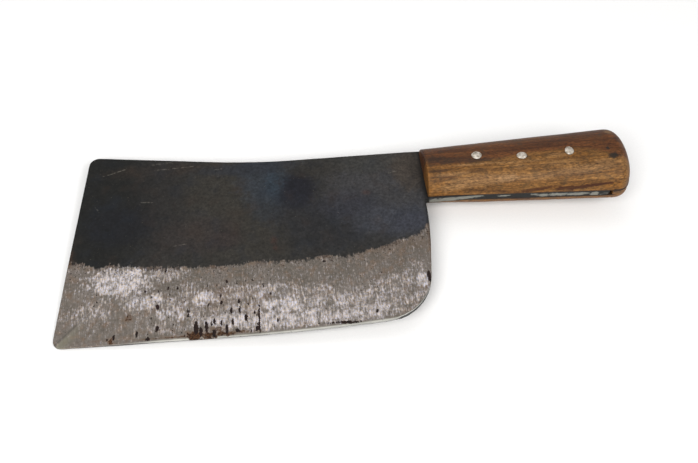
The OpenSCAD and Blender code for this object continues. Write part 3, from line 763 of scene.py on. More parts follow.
    dull = rustMask
    for mask in (pitMask, grimeAndShadeMask):
        dull = put(tree, "ShaderNodeMath", {"operation": "MAXIMUM"}, {0: dull, 1: mask})
    metal = put(tree, "ShaderNodeMath", {"operation": "SUBTRACT", "use_clamp": True}, {0: bare, 1: dull})
    metal = put(tree, "ShaderNodeMath", {"operation": "MULTIPLY"}, {0: metal, 1: offWall})
    metal = put(tree, "ShaderNodeMath", {"operation": "MAXIMUM"}, {0: metal, 1: tangBare})
    rough = 0.6  # of the fire scale
    steelRough = put(tree, "ShaderNodeMapRange", links={"Value": glint, "To Min": 0.48, "To Max": 0.32})
    matt = put(tree, "ShaderNodeMath", {"operation": "SUBTRACT", "use_clamp": True}, {
        0: wallScaleAndShadeMask, 1: tangBare})
    for mask, over in ((bare, steelRough), (dull, 0.85), (matt, 1.0)):
        rough = put(tree, "ShaderNodeMix", links={"Factor": mask, "A": rough, "B": over})

    # relief: 0.02 mm scratches in the ground band, 0.05 mm of grain in the scale
    hairRelief = put(tree, "ShaderNodeMath", {"operation": "MULTIPLY"}, {0: hair, 1: bare})
    grainRelief = put(tree, "ShaderNodeMix", links={"Factor": bare, "A": mottle, "B": stroke})
    relief = put(tree, "ShaderNodeMath", {"operation": "ADD"}, {0: hairRelief, 1: grainRelief})
    bump = put(tree, "ShaderNodeBump", links={"Height": relief, "Strength": 0.35, "Distance": 0.08 * mm})
    shader = put(tree, "ShaderNodeBsdfPrincipled", links={
        "Base Color": colour, "Metallic": metal, "Roughness": rough, "Specular IOR Level": 0.17,
        "Normal": bump})
    put(tree, "ShaderNodeOutputMaterial", links={"Surface": shader})
    return material


forged = makeBlade(forgedSteel())
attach(forged, "root")
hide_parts("blade")


# Handle scales, lofted along a rail

handle = {
    "frontWidth": 31.6, "rearWidth": 42.6, "frontThickness": 28.0, "rearThickness": 29.8,
    "bodyLength": 105.0, "buttLength": 10.7, "nearButtPower": 2.5, "farButtPower": 2.7, "buttTip": 0.22,
    "sectionPower": 2.2,
    "seam": 1.9,  # half the tang's thickness
    "slotEnd": 103.5,  # where the far scale closes behind the tang
    "frontBevel": 3.4,  # degrees that the front end leans back
    "frontSkew": 0.03, "frontShift": -0.1,  # nor is it quite square to the handle
    "spineDroop": 0.14,  # the near and far sides fall away towards the spine
    # how far the cutting edge's side is worn away at the front end, and over what length
    "nearWear": (-0.5, 12.0), "farWear": (0.95, 34.0),
    "rimRadius": 0.5, "seamRadius": 0.35,
    "ringStep": 0.85, "around": 110, "floorSteps": 12,
    "rows": {"cap": 8, "rim": 5, "butt": 24, "tip": 4},  # of the mesh over each stretch of the rail
    "carving": 0.16, "carvingSize": 26.0,  # unevenness that hand shaping left
}

# Border between the dark heartwood at the spine and the golden wood, in mm from the handle's axis
heartLine = [
    (0, -4), (25, -3.2), (42, -1.5), (60, 0.8), (84, 0.6), (95, -1.5), (101, -3.5), (106, -7), (117, -8),
]

# Marks on the near side's wood: x, y, width, length, strength
woodMarks = {
    "smoke": [  # grey-black stains
        (5, 0.4, 13, 5.5, 0.75), (3.5, -2.6, 8, 4, 0.5), (12, -1.3, 15, 5, 0.75), (19, -1.6, 20, 4, 0.75),
        (30, -2.6, 22, 3.6, 0.8), (40, -2.6, 12, 2.6, 0.45), (3, 4, 8, 7, 0.4), (7, -7, 18, 2.2, 0.55),
        (28, -9, 15, 6, 0.36), (32.5, -9.8, 2.4, 3.2, 0.6), (46.6, -9.8, 2.6, 2.4, 0.4), (41, -8, 3, 3, 0.5),
        # the mark at x 102.2 is a small hole, painted dark for the shade inside it
        (36, -7.6, 7, 3, 0.3), (104.4, -6.2, 7.6, 3.8, 1.2), (102.2, -0.8, 1.7, 1.5, 2.2),
        (95, -4.5, 12, 4, 0.35), (115.4, -10, 2.6, 18, 0.6), (71, -7.5, 12, 3, 0.3), (62, -8.5, 10, 3, 0.35),
        (20, -12.6, 10, 1, 0.35), (86, -10, 9, 1.4, 0.4), (60, 5, 40, 2, 0.3), (26, 6, 26, 2, 0.25),
        (80, 7, 30, 2.6, 0.3),
    ],
    "umber": [  # brown lines along the grain
        (62, -18.2, 24, 0.9, 0.7), (90, -19.3, 30, 0.9, 0.95), (76, -18.9, 14, 0.8, 0.8),
        (12, -10.6, 12, 0.8, 0.6), (30, -12.4, 14, 0.8, 0.5), (24, -14.8, 10, 0.7, 0.4),
        (95.5, 4, 0.7, 10, 0.35), (70, 12, 60, 1.2, 0.4), (104, -18.6, 2, 1, 0.6), (50, -15, 16, 0.9, 0.35),
        (84, -14.6, 12, 0.8, 0.3), (6, -12, 8, 0.9, 0.4), (0.6, 8, 2.2, 18, 0.55),
    ],
    "pale": [  # lighter wood in patches, and a lighter strip along the spine-side rim
        (106.5, 13.2, 5, 4, 0.6), (30, -13.2, 36, 4.4, 0.45), (44, -13.4, 14, 3, 0.85),
        (14, -9.4, 22, 2, 0.4), (75, -8, 22, 4, 0.25), (110, -10, 9, 8, 0.3), (60, 19, 110, 3, 0.25),
        (54, -5.5, 30, 2, 0.3), (16, -14.5, 22, 2.4, 0.55), (88, -12.2, 38, 4.4, 0.42),
        (100, -9.4, 14, 4, 0.35), (28, -4.9, 34, 1.1, 0.5), (74, -3, 12, 3, 0.3), (60, -13.8, 26, 3.4, 0.35),
        (52, -8, 8, 3, 0.3),
    ],
    "ember": [  # orange where the oil has soaked in
        (4, -15.2, 11, 4, 0.65), (14, -16.2, 14, 2, 0.6), (0.8, -6, 2.4, 17, 0.6), (90, -21, 40, 1.6, 0.6),
        (111.8, -12, 3.4, 3, 0.8), (50, 12, 60, 5, 0.2), (20, -5.6, 30, 1.6, 0.5), (50, -18.6, 60, 1.4, 0.5),
        (104, -20.5, 14, 3, 0.7), (86, -3.8, 16, 3, 0.35),
    ],
}

# Rivets: place along and across the handle, in mm
rivets = {
    "front_rivet": (28.7, 1.1), "middle_rivet": (53.5, -1.5), "rear_rivet": (80.3, -0.7),
}
# No two heads were peened alike: stretched along and across the handle, and so far behind the pin's middle
headOvals = {
    "front_rivet": (1.12, 1.0, 0.4), "middle_rivet": (1.12, 0.92, 0.4), "rear_rivet": (0.96, 1.1, 0.4),
}


def railPoints(power):  # stations along a scale: x in mm, shares of the width and of the height over the seam
    radius, seam, rows = handle["rimRadius"], handle["seam"], handle["rows"]
    inner = 1 - radius / (handle["frontThickness"] / 2 - seam)
    stations = [(0, inner * k / rows["cap"], inner * k / rows["cap"]) for k in range(rows["cap"] + 1)]
    for k in range(1, rows["rim"] + 1):
        a = math.pi / 2 * k / rows["rim"]
        share = inner + (1 - inner) * math.sin(a)
        stations.append((radius * (1 - math.cos(a)), share, share))
    body = np.arange(radius + handle["ringStep"], handle["bodyLength"], handle["ringStep"])
    body = [x for x in body if abs(x - handle["slotEnd"]) > handle["ringStep"] / 3]
    stations += [(x, 1, 1) for x in sorted(body + [handle["slotEnd"] - 0.01, handle["slotEnd"] + 0.01])]
    thick = handle["rearThickness"] / 2
    last = math.acos(handle["buttTip"] ** (power / 2))
    for k in range(rows["butt"] + 1):
        a = last * k / rows["butt"]
        share = math.cos(a) ** (2 / power)
        x = handle["bodyLength"] + handle["buttLength"] * math.sin(a) ** (2 / power)
        stations.append((x, share, max(0, (share * thick - seam) / (thick - seam))))
    x, wide, tall = stations[-1]
    left = [1 - k / rows["tip"] for k in range(1, rows["tip"] + 1)]
    return stations + [(x, wide * share, tall * share) for share in left]


def sectionPoints():  # closed outline of one scale's section: share of the half width, share of the height
    power, seam = handle["sectionPower"], handle["seam"]
    thick = handle["frontThickness"] / 2
    start = math.asin((seam / thick) ** (power / 2))
    radius = handle["seamRadius"] / (thick - seam)
    made = []
    for k in range(handle["around"] + 1):
        t = k / handle["around"]
        a = start + (math.pi - 2 * start) * t * t * (3 - 2 * t)
        across = math.copysign(abs(math.cos(a)) ** (2 / power), math.cos(a))
        up = (abs(math.sin(a)) ** (2 / power) * thick - seam) / (thick - seam)
        inset = max(0, radius - up)
        across *= 1 - (radius - math.sqrt(max(radius ** 2 - inset ** 2, 0))) * 0.8
        made.append((across, max(up, 0), 0))
    left, right, steps = made[-1][0], made[0][0], handle["floorSteps"]
    return made + [(left + (right - left) * k / steps, 0, 0) for k in range(1, steps + 1)]


def newTree(name, inputs):  # a node group that takes and gives a mesh, with more named inputs by kind
    tree = bpy.data.node_groups.new(name, "GeometryNodeTree")
    tree.interface.new_socket("Geometry", in_out="OUTPUT", socket_type="NodeSocketGeometry")
    for kind, names in {"Geometry": ["Geometry"], **inputs, "Material": ["Material"]}.items():
        for each in names:
            tree.interface.new_socket(each, in_out="INPUT", socket_type="NodeSocket" + kind)
    return tree, put(tree, "NodeGroupInput").node.outputs


def loftTree():
    # lofts a section along a rail: the group's own mesh is the section, and the rail comes in as an object
    tree, given = newTree("loftAlongRail", {
        "Object": ["Rail", "Cutters"],
        "Float": [
            "Front Width", "Rear Width", "Front Thickness", "Rear Thickness", "Length", "Seam", "Side",
            "Bevel Slope", "Front Skew", "Front Shift", "Edge Wear", "Wear Length", "Spine Droop",
            "Lift", "Lift From", "Lift Below", "Carving", "Carving Size"],
    })
    section = given["Geometry"]
    rail = put(tree, "GeometryNodeObjectInfo", links={"Object": given["Rail"]}).node.outputs["Geometry"]
    railCount = put(tree, "GeometryNodeAttributeDomainSize", links={"Geometry": rail})
    sectionCount = put(tree, "GeometryNodeAttributeDomainSize", links={"Geometry": section})
    grid = put(tree, "GeometryNodeMeshGrid", links={
        "Size X": 1.0, "Size Y": 1.0, "Vertices X": railCount, "Vertices Y": sectionCount})
    index = put(tree, "GeometryNodeInputIndex")
    ring = put(tree, "ShaderNodeMath", {"operation": "DIVIDE"}, {0: index, 1: sectionCount})
    ring = put(tree, "ShaderNodeMath", {"operation": "FLOOR"}, {0: ring})
    step = put(tree, "ShaderNodeMath", {"operation": "MODULO"}, {0: index, 1: sectionCount})
    place = put(tree, "GeometryNodeInputPosition")
    station = put(tree, "GeometryNodeSampleIndex", {"data_type": "FLOAT_VECTOR"}, {
        "Geometry": rail, "Value": place, "Index": ring})
    corner = put(tree, "GeometryNodeSampleIndex", {"data_type": "FLOAT_VECTOR"}, {
        "Geometry": section, "Value": place, "Index": step})
    along, wideShare, tallShare = list(put(tree, "ShaderNodeSeparateXYZ", links={0: station}).node.outputs)
    across, up, _ = list(put(tree, "ShaderNodeSeparateXYZ", links={0: corner}).node.outputs)
    width = put(tree, "ShaderNodeMapRange", links={
        "Value": along, "From Max": given["Length"], "To Min": given["Front Width"],
        "To Max": given["Rear Width"]})
    width = put(tree, "ShaderNodeMath", {"operation": "MULTIPLY"}, {0: width, 1: wideShare})
    y = put(tree, "ShaderNodeMath", {"operation": "MULTIPLY"}, {0: width, 1: across})
    y = put(tree, "ShaderNodeMath", {"operation": "DIVIDE"}, {0: y, 1: 2.0})
    worn = put(tree, "ShaderNodeMapRange", {"interpolation_type": "SMOOTHSTEP"}, {
        "Value": along, "From Max": given["Wear Length"], "To Min": given["Edge Wear"], "To Max": 0.0})
    edgeSide = put(tree, "ShaderNodeMath", {"operation": "MINIMUM"}, {0: across, 1: 0.0})
    worn = put(tree, "ShaderNodeMath", {"operation": "MULTIPLY"}, {0: worn, 1: edgeSide})
    y = put(tree, "ShaderNodeMath", {"operation": "SUBTRACT"}, {0: y, 1: worn})
    thickness = put(tree, "ShaderNodeMapRange", links={
        "Value": along, "From Max": given["Length"], "To Min": given["Front Thickness"],
        "To Max": given["Rear Thickness"]})
    tall = put(tree, "ShaderNodeMath", {"operation": "DIVIDE"}, {0: thickness, 1: 2.0})
    tall = put(tree, "ShaderNodeMath", {"operation": "SUBTRACT"}, {0: tall, 1: given["Seam"]})
    tall = put(tree, "ShaderNodeMath", {"operation": "MULTIPLY"}, {0: tall, 1: tallShare})
    droop = put(tree, "ShaderNodeMath", {"operation": "MAXIMUM"}, {0: across, 1: 0.0})
    droop = put(tree, "ShaderNodeMath", {"operation": "MULTIPLY"}, {0: droop, 1: given["Spine Droop"]})
    droop = put(tree, "ShaderNodeMath", {"operation": "SUBTRACT"}, {0: 1.0, 1: droop})
    tall = put(tree, "ShaderNodeMath", {"operation": "MULTIPLY"}, {0: tall, 1: droop})
    rise = put(tree, "ShaderNodeMath", {"operation": "MULTIPLY"}, {0: tall, 1: up})
    z = put(tree, "ShaderNodeMath", {"operation": "ADD"}, {0: rise, 1: given["Seam"]})
    beyond = put(tree, "ShaderNodeMath", {"operation": "GREATER_THAN"}, {0: along, 1: given["Lift From"]})
    low = put(tree, "ShaderNodeMath", {"operation": "LESS_THAN"}, {0: up, 1: given["Lift Below"]})
    raised = put(tree, "ShaderNodeMath", {"operation": "MULTIPLY"}, {0: beyond, 1: low})
    z = put(tree, "ShaderNodeMath", {"operation": "MULTIPLY_ADD"}, {0: raised, 1: given["Lift"], 2: z})
    z = put(tree, "ShaderNodeMath", {"operation": "MULTIPLY"}, {0: z, 1: given["Side"]})
    fade = put(tree, "ShaderNodeMapRange", links={
        "Value": along, "From Max": given["Length"], "To Min": given["Bevel Slope"], "To Max": 0.0})
    x = put(tree, "ShaderNodeMath", {"operation": "MULTIPLY_ADD"}, {0: rise, 1: fade, 2: along})
    skew = put(tree, "ShaderNodeMath", {"operation": "MULTIPLY"}, {0: y, 1: given["Front Skew"]})
    skew = put(tree, "ShaderNodeMath", {"operation": "SUBTRACT"}, {0: given["Front Shift"], 1: skew})
    early = put(tree, "ShaderNodeMapRange", links={
        "Value": along, "From Max": 20.0, "To Min": 1.0, "To Max": 0.0})
    x = put(tree, "ShaderNodeMath", {"operation": "MULTIPLY_ADD"}, {0: skew, 1: early, 2: x})
    target = put(tree, "ShaderNodeCombineXYZ", links={0: x, 1: y, 2: z})
    shape = put(tree, "GeometryNodeSetPosition", links={"Geometry": grid, "Position": target})
    shape = put(tree, "GeometryNodeMergeByDistance", links={"Geometry": shape, "Distance": 0.003})
    # hand shaping leaves slow swells, which only take wood away and die out at the seam
    slow = put(tree, "ShaderNodeMath", {"operation": "DIVIDE"}, {0: 1.0, 1: given["Carving Size"]})
    swell = put(tree, "ShaderNodeTexNoise", links={"Vector": place, "Scale": slow, "Detail": 1.0})
    swell = put(tree, "ShaderNodeMath", {"operation": "SUBTRACT"}, {0: swell, 1: 0.85})
    _, _, z = list(put(tree, "ShaderNodeSeparateXYZ", links={0: place}).node.outputs)
    out = put(tree, "ShaderNodeMath", {"operation": "ABSOLUTE"}, {0: z})
    calm = put(tree, "ShaderNodeMapRange", links={
        "Value": out, "From Min": given["Seam"], "From Max": 6.0, "To Max": given["Carving"]})
    calm = put(tree, "ShaderNodeMath", {"operation": "MULTIPLY"}, {0: calm, 1: swell})
    offset = put(tree, "ShaderNodeVectorMath", {"operation": "SCALE"}, {
        0: put(tree, "GeometryNodeInputNormal"), "Scale": calm})
    shape = put(tree, "GeometryNodeSetPosition", links={"Geometry": shape, "Offset": offset})
    cutters = put(tree, "GeometryNodeObjectInfo", links={"Object": given["Cutters"]}).node.outputs["Geometry"]
    shape = put(tree, "GeometryNodeMeshBoolean", {"operation": "DIFFERENCE"}, {
        "Mesh 1": shape, "Mesh 2": cutters})
    shape = put(tree, "GeometryNodeRealizeInstances", links={"Geometry": shape})
    shape = put(tree, "GeometryNodeSetMaterial", links={"Geometry": shape, "Material": given["Material"]})
    put(tree, "NodeGroupOutput", links={"Geometry": shape})
    return tree


def helperMesh(name, points):  # a throwaway chain of points that a node tree reads, in mm
    mesh = bpy.data.meshes.new(name)
    mesh.from_pydata(points, [(i, i + 1) for i in range(len(points) - 1)], [])
    made = bpy.data.objects.new(name, mesh)
    bpy.context.scene.collection.objects.link(made)
    return made


def grown(name, base, tree, sizes):  # runs a node tree on a helper and keeps its result as a plain piece
    modifier = base.modifiers.new("grow", "NODES")
    modifier.node_group = tree
    for item in tree.interface.items_tree:
        if item.in_out == "INPUT" and item.name in sizes:
            modifier[item.identifier] = sizes[item.name]
    bpy.context.view_layer.update()
    ready = base.evaluated_get(bpy.context.evaluated_depsgraph_get())
    mesh = bpy.data.meshes.new_from_object(ready)
    bpy.data.objects.remove(base)
    mesh.name = name
    shape = bmesh.new()
    shape.from_mesh(mesh)
    bmesh.ops.remove_doubles(shape, verts=shape.verts, dist=0.002)
    bmesh.ops.dissolve_degenerate(shape, edges=shape.edges, dist=0.001)
    bmesh.ops.recalc_face_normals(shape, faces=shape.faces)
    bmesh.ops.triangulate(shape, faces=[f for f in shape.faces if len(f.verts) > 4])
    shape.to_mesh(mesh)
    shape.free()
    mesh.transform(knifeToRow)
    mesh.polygons.foreach_set("use_smooth", [True] * len(mesh.polygons))
    mesh.set_sharp_from_angle(angle=math.radians(38))
    piece = bpy.data.objects.new(name, mesh)
    bpy.context.scene.collection.objects.link(piece)
    print(name + ":", len(mesh.vertices), "points,", len(mesh.polygons), "faces")
    return piece


def woodHeight(x, y):  # height of the wood above the middle of the steel
    share = min(x, handle["bodyLength"]) / handle["bodyLength"]
    halfWidth = (handle["frontWidth"] + (handle["rearWidth"] - handle["frontWidth"]) * share) / 2
    halfThick = (handle["frontThickness"] + (handle["rearThickness"] - handle["frontThickness"]) * share) / 2
    return halfThick * (1 - (abs(y) / halfWidth) ** handle["sectionPower"]) ** (1 / handle["sectionPower"])


rivet = {
    "headRadius": 2.6, "shankRadius": 1.96, "boreRadius": 2.0,
    "crown": 0.9, "seatDepth": 0.8, "seatGap": 0.05,  # the head above and in the wood, and the air round it
    "hammering": 0.22, "hammerMark": 2.0,  # depth and size of the dents
    # flats on each head: how many, their tilt in degrees, and how high the outer ones and the top one lie
    "blows": 6, "blowTilt": (20, 48), "blowDepth": (0.8, 0.9), "topDepth": 0.78,
}


def rivetCutters():  # bores and head seats of all three rivets, as one mesh in mm
    shape = bmesh.new()
    for node, (x, y) in rivets.items():
        seat, tall = woodHeight(x, y) - rivet["seatDepth"], handle["rearThickness"]
        wide = rivet["headRadius"] + rivet["seatGap"]
        long, broad, shift = headOvals[node]
        oval = Matrix.Translation((shift, 0, 0)) @ Matrix.Diagonal((long, broad, 1, 1))
        for radius, low, high, stretch in ((rivet["boreRadius"], -seat - 0.2, seat + 0.2, Matrix.Identity(4)),
                                           (wide, seat, tall, oval), (wide, -tall, -seat, oval)):
            place = Matrix.Translation((x, y, (low + high) / 2)) @ stretch
            bmesh.ops.create_cone(shape, cap_ends=True, segments=40, radius1=radius, radius2=radius,
                                  depth=high - low, matrix=place)
    mesh = bpy.data.meshes.new("rivetCutters")
    shape.to_mesh(mesh)
    shape.free()
    made = bpy.data.objects.new("rivetCutters", mesh)
    bpy.context.scene.collection.objects.link(made)
    return made


def makeScales(material):
    tree = loftTree()
    cutters = rivetCutters()
    shared = {
        "Cutters": cutters, "Material": material, "Front Width": handle["frontWidth"],
        "Rear Width": handle["rearWidth"], "Front Thickness": handle["frontThickness"],
        "Rear Thickness": handle["rearThickness"], "Length": handle["bodyLength"], "Seam": handle["seam"],
        "Bevel Slope": math.tan(math.radians(handle["frontBevel"])), "Front Skew": handle["frontSkew"],
        "Front Shift": handle["frontShift"], "Spine Droop": handle["spineDroop"],
        "Lift From": handle["slotEnd"], "Lift Below": 0.1 * handle["seamRadius"],
        "Carving": 2 * handle["carving"], "Carving Size": handle["carvingSize"],
    }
    made = []
    for name, side, lift in (("near", 1, 0.0), ("far", -1, -2 * handle["seam"])):
        rail = helperMesh("rail", railPoints(handle[name + "ButtPower"]))
        wear, wearLength = handle[name + "Wear"]
        piece = grown(name + "_scale_wood", helperMesh("section", sectionPoints()), tree, {
            **shared, "Rail": rail, "Side": float(side), "Lift": lift,
            "Edge Wear": wear, "Wear Length": wearLength,
        })
        bpy.data.objects.remove(rail)
        points = knifePoints(piece.data)
        paint(piece, "heart", points[:, 1] - np.interp(points[:, 0], *zip(*heartLine)))
        for mark, spots in woodMarks.items():
            if side < 0:  # the far side has the same kinds of marks at other places
                spots = [(112 - x, y * 0.9 - 2, *rest) for x, y, *rest in spots]
            shares = blobs(points * (1, 1, 0.15), spots, 5.0 * side, 0.5)
            if mark == "ember":  # the seam at the cutting edge's side
                shares = np.maximum(shares, 0.7 * softStep(-points[:, 1], 13, 17) * (points[:, 2] < 0))
            paint(piece, mark, shares)
        made.append(piece)
    bpy.data.objects.remove(cutters)
    return made


# Noise patterns of the wood, in the same way as the steel's.
# Fibres are 0.2 mm; the finest drawn are 0.85 mm across and 3.6 mm long.
woodPatterns = {
    "fibre": ((3.6, 0.85, 0.85), (0, 0, 0), 4.0, 0.62, 0.5),
    "band": ((34, 2.6, 2.6), (0, 0, 0), 4.0, 0.6, 0.9),
    "pore": ((1.7, 0.6, 0.6), (0, 0, 0), 3.0, 0.6, 0.0),
    "blotch": ((5, 5, 5), (0, 0, 0), 4.0, 0.6, 0.0),
}

woodColours = {
    "gold": [(0.3, "#442b14"), (0.5, "#694722"), (0.72, "#835d31")],  # across the bands of the light wood
    "heart": [(0.32, "#3c2111"), (0.7, "#633c1e")],
    "ember": "#734b1e", "pale": "#93714c", "pore": "#2a1a10", "blotch": "#3b3020", "umber": "#35190c",
    # the seam colour is painted shade in the seam, with dirt
    "smoke": "#201d19", "seam": "#1e130c",
}


def oiledHardwood():
    # Old oiled hardwood: dark reddish heartwood along the spine, golden below, with fine long fibres and
    # short pores, polished by hands and dirty along the seams
    material, tree = newMaterial("oiledHardwood")
    where, read, patterns = knifePatterns(tree, ("heart", *woodMarks), woodPatterns)
    fibre, band, pore, blotch = patterns

    # the border of the heartwood runs out in tongues along the grain
    heartSum = read["heart"]
    for pattern, reach in ((band, 10.0), (fibre, 5.0)):
        heartSum = put(tree, "ShaderNodeMath", {"operation": "MULTIPLY_ADD"}, {
            0: pattern, 1: reach, 2: heartSum})
    heartMask = put(tree, "ShaderNodeMapRange", {"interpolation_type": "SMOOTHSTEP"}, {
        "Value": heartSum, "From Min": 5.8, "From Max": 9.2})
    gold, heart = [put(tree, "ShaderNodeValToRGB", {"stops": woodColours[name]}, {"Fac": band})
                   for name in ("gold", "heart")]
    paleMask = put(tree, "ShaderNodeMath", {"operation": "MULTIPLY"}, {0: read["pale"], 1: 0.75})
    colour = gold
    for mask, over in ((heartMask, heart), (read["ember"], linear(woodColours["ember"])),
                       (paleMask, linear(woodColours["pale"]))):
        colour = put(tree, "ShaderNodeMix", {"data_type": "RGBA"}, {"Factor": mask, "A": colour, "B": over})
    for pattern, low, high in ((fibre, 0.58, 1.42), (pore, 1.5, 0.52)):
        tone = put(tree, "ShaderNodeMapRange", links={
            "Value": pattern, "From Min": 0.3, "From Max": 0.7, "To Min": low, "To Max": high})
        colour = put(tree, "ShaderNodeVectorMath", {"operation": "SCALE"}, {0: colour, "Scale": tone})

    # pores, grey blotches, umber lines and smoke marks
    poreMask = put(tree, "ShaderNodeMapRange", links={
        "Value": pore, "From Min": 0.62, "From Max": 0.72, "To Max": 0.6})
    masks = [("pore", poreMask)]
    umberSum, smokeSum = [put(tree, "ShaderNodeMath", {"operation": "MULTIPLY_ADD"}, {
        0: fibre, 1: share, 2: read[name]}) for name, share in (("umber", 1.2), ("smoke", 1.3))]
    for name, value, low, high, most in (
            ("blotch", blotch, 0.5, 0.75, 0.5), ("umber", umberSum, 0.7, 1.5, 0.9),
            ("smoke", smokeSum, 0.75, 1.9, 0.95)):
        masks.append((name, put(tree, "ShaderNodeMapRange", {"interpolation_type": "SMOOTHSTEP"}, {
            "Value": value, "From Min": low, "From Max": high, "To Max": most})))

    # painted shade and hand dirt darken the seam along the steel; behind the tang there is one seam only, and
    # it fades out
    x, _, z = list(put(tree, "ShaderNodeSeparateXYZ", links={0: where}).node.outputs)
    height = put(tree, "ShaderNodeMath", {"operation": "ABSOLUTE"}, {0: z})
    height = put(tree, "ShaderNodeMath", {"operation": "SUBTRACT"}, {0: height, 1: handle["seam"]})
    height = put(tree, "ShaderNodeMath", {"operation": "ABSOLUTE"}, {0: height})
    beyond = put(tree, "ShaderNodeMath", {"operation": "GREATER_THAN"}, {0: x, 1: handle["slotEnd"] + 0.2})
    under = put(tree, "ShaderNodeMath", {"operation": "LESS_THAN"}, {0: z, 1: 0.5})
    closed = put(tree, "ShaderNodeMath", {"operation": "MULTIPLY"}, {0: beyond, 1: under})
    height = put(tree, "ShaderNodeMath", {"operation": "ADD"}, {0: height, 1: closed})
    slit = put(tree, "ShaderNodeMapRange", links={
        "Value": x, "From Min": handle["slotEnd"], "From Max": handle["slotEnd"] + 11,
        "To Min": 0.35, "To Max": 1.8})
    ahead = put(tree, "ShaderNodeMath", {"operation": "SUBTRACT"}, {0: 1.0, 1: beyond})
    slit = put(tree, "ShaderNodeMath", {"operation": "MAXIMUM"}, {0: slit, 1: ahead})
    height = put(tree, "ShaderNodeMath", {"operation": "MULTIPLY"}, {0: height, 1: slit})
    masks.append(("seam", put(tree, "ShaderNodeMapRange", {"interpolation_type": "SMOOTHSTEP"}, {
        "Value": height, "From Min": 0.3, "From Max": 0.95, "To Min": 0.92, "To Max": 0.0})))
    for name, mask in masks:
        colour = put(tree, "ShaderNodeMix", {"data_type": "RGBA"}, {
            "Factor": mask, "A": colour, "B": linear(woodColours[name])})

    rough = put(tree, "ShaderNodeMapRange", links={
        "Value": fibre, "From Min": 0.3, "From Max": 0.7, "To Min": 0.44, "To Max": 0.62})
    relief = put(tree, "ShaderNodeMath", {"operation": "SUBTRACT"}, {0: fibre, 1: poreMask})
    bump = put(tree, "ShaderNodeBump", links={"Height": relief, "Strength": 0.5, "Distance": 0.15 * mm})
    shader = put(tree, "ShaderNodeBsdfPrincipled", links={
        "Base Color": colour, "Roughness": rough, "Specular IOR Level": 0.19, "Normal": bump})
    put(tree, "ShaderNodeOutputMaterial", links={"Surface": shader})
    return material


nearWood, farWood = makeScales(oiledHardwood())
for piece, node in ((nearWood, "near_scale"), (farWood, "far_scale")):
    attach(piece, "root")
    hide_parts(node)


# Rivets


